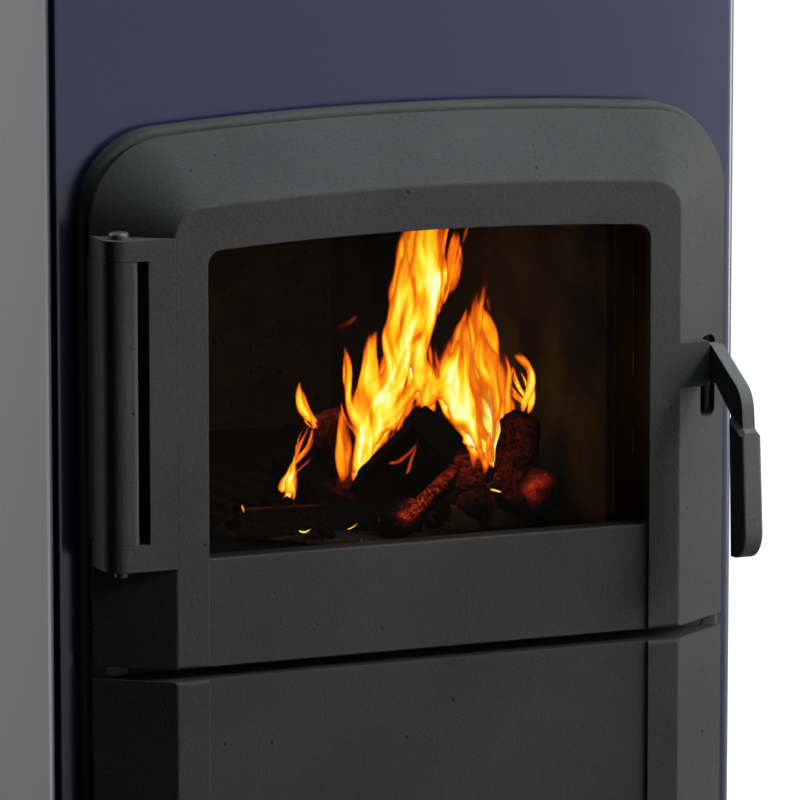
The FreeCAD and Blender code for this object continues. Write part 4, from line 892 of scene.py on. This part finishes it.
# %% Stand the fire in the firebox
fire_rows, fire_columns = 205, 225
fire_middle, fire_half = 0.0543, 0.0883
fire_foot, fire_head = 0.420, 0.622
bulge_foot, bulge_height = 0.415, 0.215
shift_across, shift_up = 0.41, 0.21


def stand_fire(name, depth, swell, seed):
    """Thin pillow over the fire's width and height.

    Its front and back lie swell times (1 - u^2)^0.5 before and behind the middle depth, u running from
    -1 to 1 across it, and both are bent by ripples. Each has a heat of its own, shifted with its depth
    so that the tongues of both stay in line from the camera.
    """
    u = np.linspace(-0.998, 0.998, fire_columns)
    z = np.linspace(fire_foot, fire_head, fire_rows)[:, None]
    x = np.broadcast_to(fire_middle + fire_half * u, (fire_rows, fire_columns))
    z = np.broadcast_to(z, x.shape)
    waver = 0.004 * ripple(np.stack([x, z], -1), 60.0, seed)
    bulge = swell * np.sqrt(1 - u ** 2) * np.sin(np.pi * (z - bulge_foot) / bulge_height) ** 0.5
    rings, heats, veils = [], [], []
    for side in (-1, 1):
        y = depth + waver + side * bulge
        off = y - depth
        heat, veil = fire_heat(x - shift_across * off, z + shift_up * off, seed + side)
        turn = slice(None, None, -side)
        rings.append(np.stack([x, y, z], -1)[:, turn])
        heats.append(heat[:, turn])
        veils.append(veil[:, turn])
    rings = np.concatenate(rings, 1)[None]
    marks = {"warmth": np.concatenate(heats, 1)[None], "veil": np.concatenate(veils, 1)[None]}
    fire = skin(name, rings, marks, rings[..., [0, 2]])
    fire.data.materials.append(flame)
    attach(fire, "stove_body")
    print(name, len(fire.data.polygons), "faces")


stand_fire("fire", -0.118, 0.010, 1)

# %% [markdown]
# Small flames stand alone at the sides and between the logs. Each is a flat lens that follows a bent
# line, hottest along its middle. A row holds the places across and up of foot, bend and tip, then the
# depth, half a width and a heat.

# %% Place the lone licks
licks = np.array([
    (0.0050, 0.4552, 0.0158, 0.4573, 0.0256, 0.4694, -0.203, 0.0024, 0.17),
    (0.0168, 0.4471, 0.0207, 0.4550, 0.0246, 0.4676, -0.203, 0.0022, 0.18),
    (-0.0404, 0.4118, -0.0361, 0.4102, -0.0314, 0.4129, -0.172, 0.0012, 0.85),
    (-0.0088, 0.4098, -0.0049, 0.4110, -0.0010, 0.4138, -0.172, 0.0007, 0.70),
    (0.0147, 0.4059, 0.0131, 0.4106, 0.0118, 0.4172, -0.172, 0.0010, 0.22),
    (0.0910, 0.4249, 0.0949, 0.4242, 0.0994, 0.4218, -0.160, 0.0013, 0.85),
    (0.0667, 0.4404, 0.0683, 0.4440, 0.0691, 0.4467, -0.150, 0.0024, 0.55),
    (-0.0682, 0.4255, -0.0677, 0.4227, -0.0672, 0.4199, -0.150, 0.0010, 0.60),
])


# %% Raise the lone licks
lick_steps, lick_around = 40, 24


def raise_licks(licks, seed):
    """Flat lenses along bent lines.

    A lick's line is the quadratic curve through foot, bend and tip, swayed by a sine that is nought
    at both ends. Its half width is 1.25 times the lick's own times t^0.45 (1 - t)^0.75, its thickness
    0.3 of that, and the lens is turned about the line by a random angle that drifts with t.
    """
    draw = np.random.default_rng(seed)
    count = len(licks)
    t = np.linspace(0.0, 1.0, lick_steps)[None, :, None]
    depth = licks[:, None, 6:7]
    foot, bend, tip = (
        np.concatenate([licks[:, None, k:k + 1], depth, licks[:, None, k + 1:k + 2]], -1) for k in (0, 2, 4)
    )
    mid = 2 * bend - (foot + tip) / 2
    line = foot * (1 - t) ** 2 + 2 * mid * t * (1 - t) + tip * t ** 2
    wave = draw.uniform(0.6, 1.6, (count, 1, 1))
    phase = draw.uniform(0.0, 2 * np.pi, (count, 1, 1))
    width = licks[:, None, 7:8]
    sway = 0.4 * width * np.sin(2 * np.pi * wave * t + phase) * np.sin(np.pi * t)
    line = line + sway * np.array([1.0, 0.5, 0.0])
    along = unit(np.gradient(line, axis=1) + 1e-9)
    yaw = draw.normal(size=(count, 1, 1)) * 0.2 - 0.35 + 0.5 * (t - 0.5) * draw.normal(size=(count, 1, 1))
    deep = np.concatenate([-np.sin(yaw), np.cos(yaw), 0 * yaw], -1)
    deep = unit(deep - (deep * along).sum(-1, keepdims=True) * along)
    wide = np.cross(deep, along)
    half = width * 1.25 * (t + 0.01) ** 0.45 * (1.002 - t) ** 0.75
    turn = np.linspace(0.0, 2 * np.pi, lick_around, endpoint=False)[:, None]
    lens = wide[:, :, None] * np.cos(turn) + 0.3 * deep[:, :, None] * np.sin(turn)
    rings = line[:, :, None] + half[:, :, None] * lens
    grid = rings.shape[:3]
    core = np.broadcast_to(1 - np.cos(turn[:, 0]) ** 2, grid)
    fade = np.broadcast_to(smooth(t, 0.0, 0.12) * (1 - smooth(t, 0.6, 1.0)), grid)
    marks = {"warmth": licks[:, None, 8:9] * (0.55 + 0.45 * core), "veil": core ** 0.8 * fade}
    uv = np.stack([core, np.broadcast_to(t, grid)], -1)
    flames = skin("lone_licks", rings, marks, uv)
    flames.data.materials.append(flame)
    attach(flames, "stove_body")
    return flames


print("lone licks", len(raise_licks(licks, 101).data.vertices), "points")

# %% [markdown]
# ## Coats on
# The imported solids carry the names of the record's finishes, so each one gets the finish of that name.

# %% Put the finishes on the solids
for solid in solids.values():
    for coat in solid.material_slots:
        coat.material = finishes[coat.material.name]
print("coated", len(solids), "solids with", len(finishes), "finishes")

# %% [markdown]
# ## Studio
# A pale floor and white surroundings, as in a catalogue. A large soft light stands to the right, a
# second hangs overhead, a third brushes the left side from behind, and two weak ones fill the front.
# The front left stays dark, with a black flag and its foot, both unseen, so that the bevels on that
# side fall into shade.


# %% Floor and flag
def plate(name, corners):
    """Flat four-cornered plate."""
    mesh = bpy.data.meshes.new(name)
    mesh.from_pydata(corners, [], [(0, 1, 2, 3)])
    made = bpy.data.objects.new(name, mesh)
    bpy.context.collection.objects.link(made)
    return made


def shown(wire):
    """1 for rays that show the studio: straight from the camera, mirrored or through glass."""
    path = wire.node("LightPath", {}, {}).socket.node
    camera_ray, glossy, through = (
        Wire(wire.tree, path.outputs[name])
        for name in ("Is Camera Ray", "Is Glossy Ray", "Is Transmission Ray")
    )
    return wire.math("MAXIMUM", camera_ray, wire.math("MAXIMUM", glossy, through))


def floor_finish():
    """Pale floor that keeps the shadow; where seen it is lifted to white, less in a painted pool of shade.
    """
    material, shader, place = start_finish("pale_floor", {"Roughness": 0.9, "Emission Strength": 1.0})
    # Painted shade: near this point in front of the stove the lift drops to 0.4, darkening the floor and its
    # reflection in the enamel.
    painted_shade_middle = (-0.3, -0.95, 0.0)
    reach = place.node("VectorMath", {"operation": "DISTANCE"}, {0: place, 1: painted_shade_middle}, "Value")
    lift = 0.4 + reach.ease(0.7, 1.9) * 0.6
    speckle = place.noise(40.0, 3.0)
    close_finish(shader, {
        "Base Color": speckle.blend((0.09, 0.09, 0.09), (0.11, 0.11, 0.11)),
        "Emission Color": (shown(place) * lift).blend((0.0, 0.0, 0.0), (1.0, 1.0, 1.0)),
    })
    return material


half_floor = 6.0
floor_corners = [(-1, -1), (1, -1), (1, 1), (-1, 1)]
floor = plate("floor", [(x * half_floor, y * half_floor, 0.0) for x, y in floor_corners])
floor.data.materials.append(floor_finish())
flag_black = {"Base Color": (0.002, 0.002, 0.002, 1.0), "Roughness": 1.0, "Specular IOR Level": 0.0}
flag_finish = start_finish("black_flag", flag_black)[0]
flag_corners = {
    "flag": [(-2.3, 0.1, 0.02), (-0.75, -2.3, 0.02), (-0.75, -2.3, 2.2), (-2.3, 0.1, 2.2)],
    "flag_foot": [(-2.3, 0.1, 0.02), (-0.75, -2.3, 0.02), (-0.2, -0.6, 0.02), (-0.3, 0.1, 0.02)],
}
for name, corners in flag_corners.items():
    flag = plate(name, corners)
    flag.visible_camera = False
    flag.visible_shadow = False
    flag.data.materials.append(flag_finish)


# %% Lamps and surroundings
def soft_light(name, place, aim, size, power, tint=(1.0, 1.0, 1.0), beam=180.0):
    """Rectangular soft light that faces a point; a narrow beam falls off away from it."""
    lamp = bpy.data.lights.new(name, "AREA")
    lamp.shape = "RECTANGLE"
    lamp.size, lamp.size_y = size
    lamp.energy = power
    lamp.color = tint
    lamp.spread = math.radians(beam)
    made = bpy.data.objects.new(name, lamp)
    made.location = place
    made.rotation_euler = (Vector(place) - Vector(aim)).to_track_quat("Z", "Y").to_euler()
    bpy.context.collection.objects.link(made)


stove_middle = (0.0, -0.25, 0.5)
soft_light("key", (2.5, -0.85, 0.95), stove_middle, (1.2, 1.8), 70.0)
soft_light("overhead", (0.65, -0.5, 2.6), stove_middle, (1.0, 1.0), 57.0, (0.82, 0.97, 1.0))
soft_light("side_rim", (-1.1, 1.75, 2.1), (-0.2, 0.0, 0.65), (0.9, 0.9), 96.0)
soft_light("front_fill", (1.75, -2.2, 0.7), (0.1, -0.25, 0.6), (1.0, 1.3), 8.0)
soft_light("high_fill", (1.7, -1.75, 1.75), (-0.05, -0.28, 0.8), (0.8, 0.8), 3.5, beam=34.0)

world = bpy.data.worlds.new("studio")
world.use_nodes = True
bpy.context.scene.world = world
tree = world.node_tree
tree.nodes.clear()
air = Wire(tree)
dim = air.node("Background", {}, {"Color": (1.0, 1.0, 1.0, 1.0), "Strength": 0.02})
white = air.node("Background", {}, {"Color": (1.0, 1.0, 1.0, 1.0), "Strength": 1.0})
sky = air.node("MixShader", {}, {0: shown(air), 1: dim, 2: white})
tree.links.new(sky.socket, tree.nodes.new("ShaderNodeOutputWorld").inputs["Surface"])
print("studio lit")
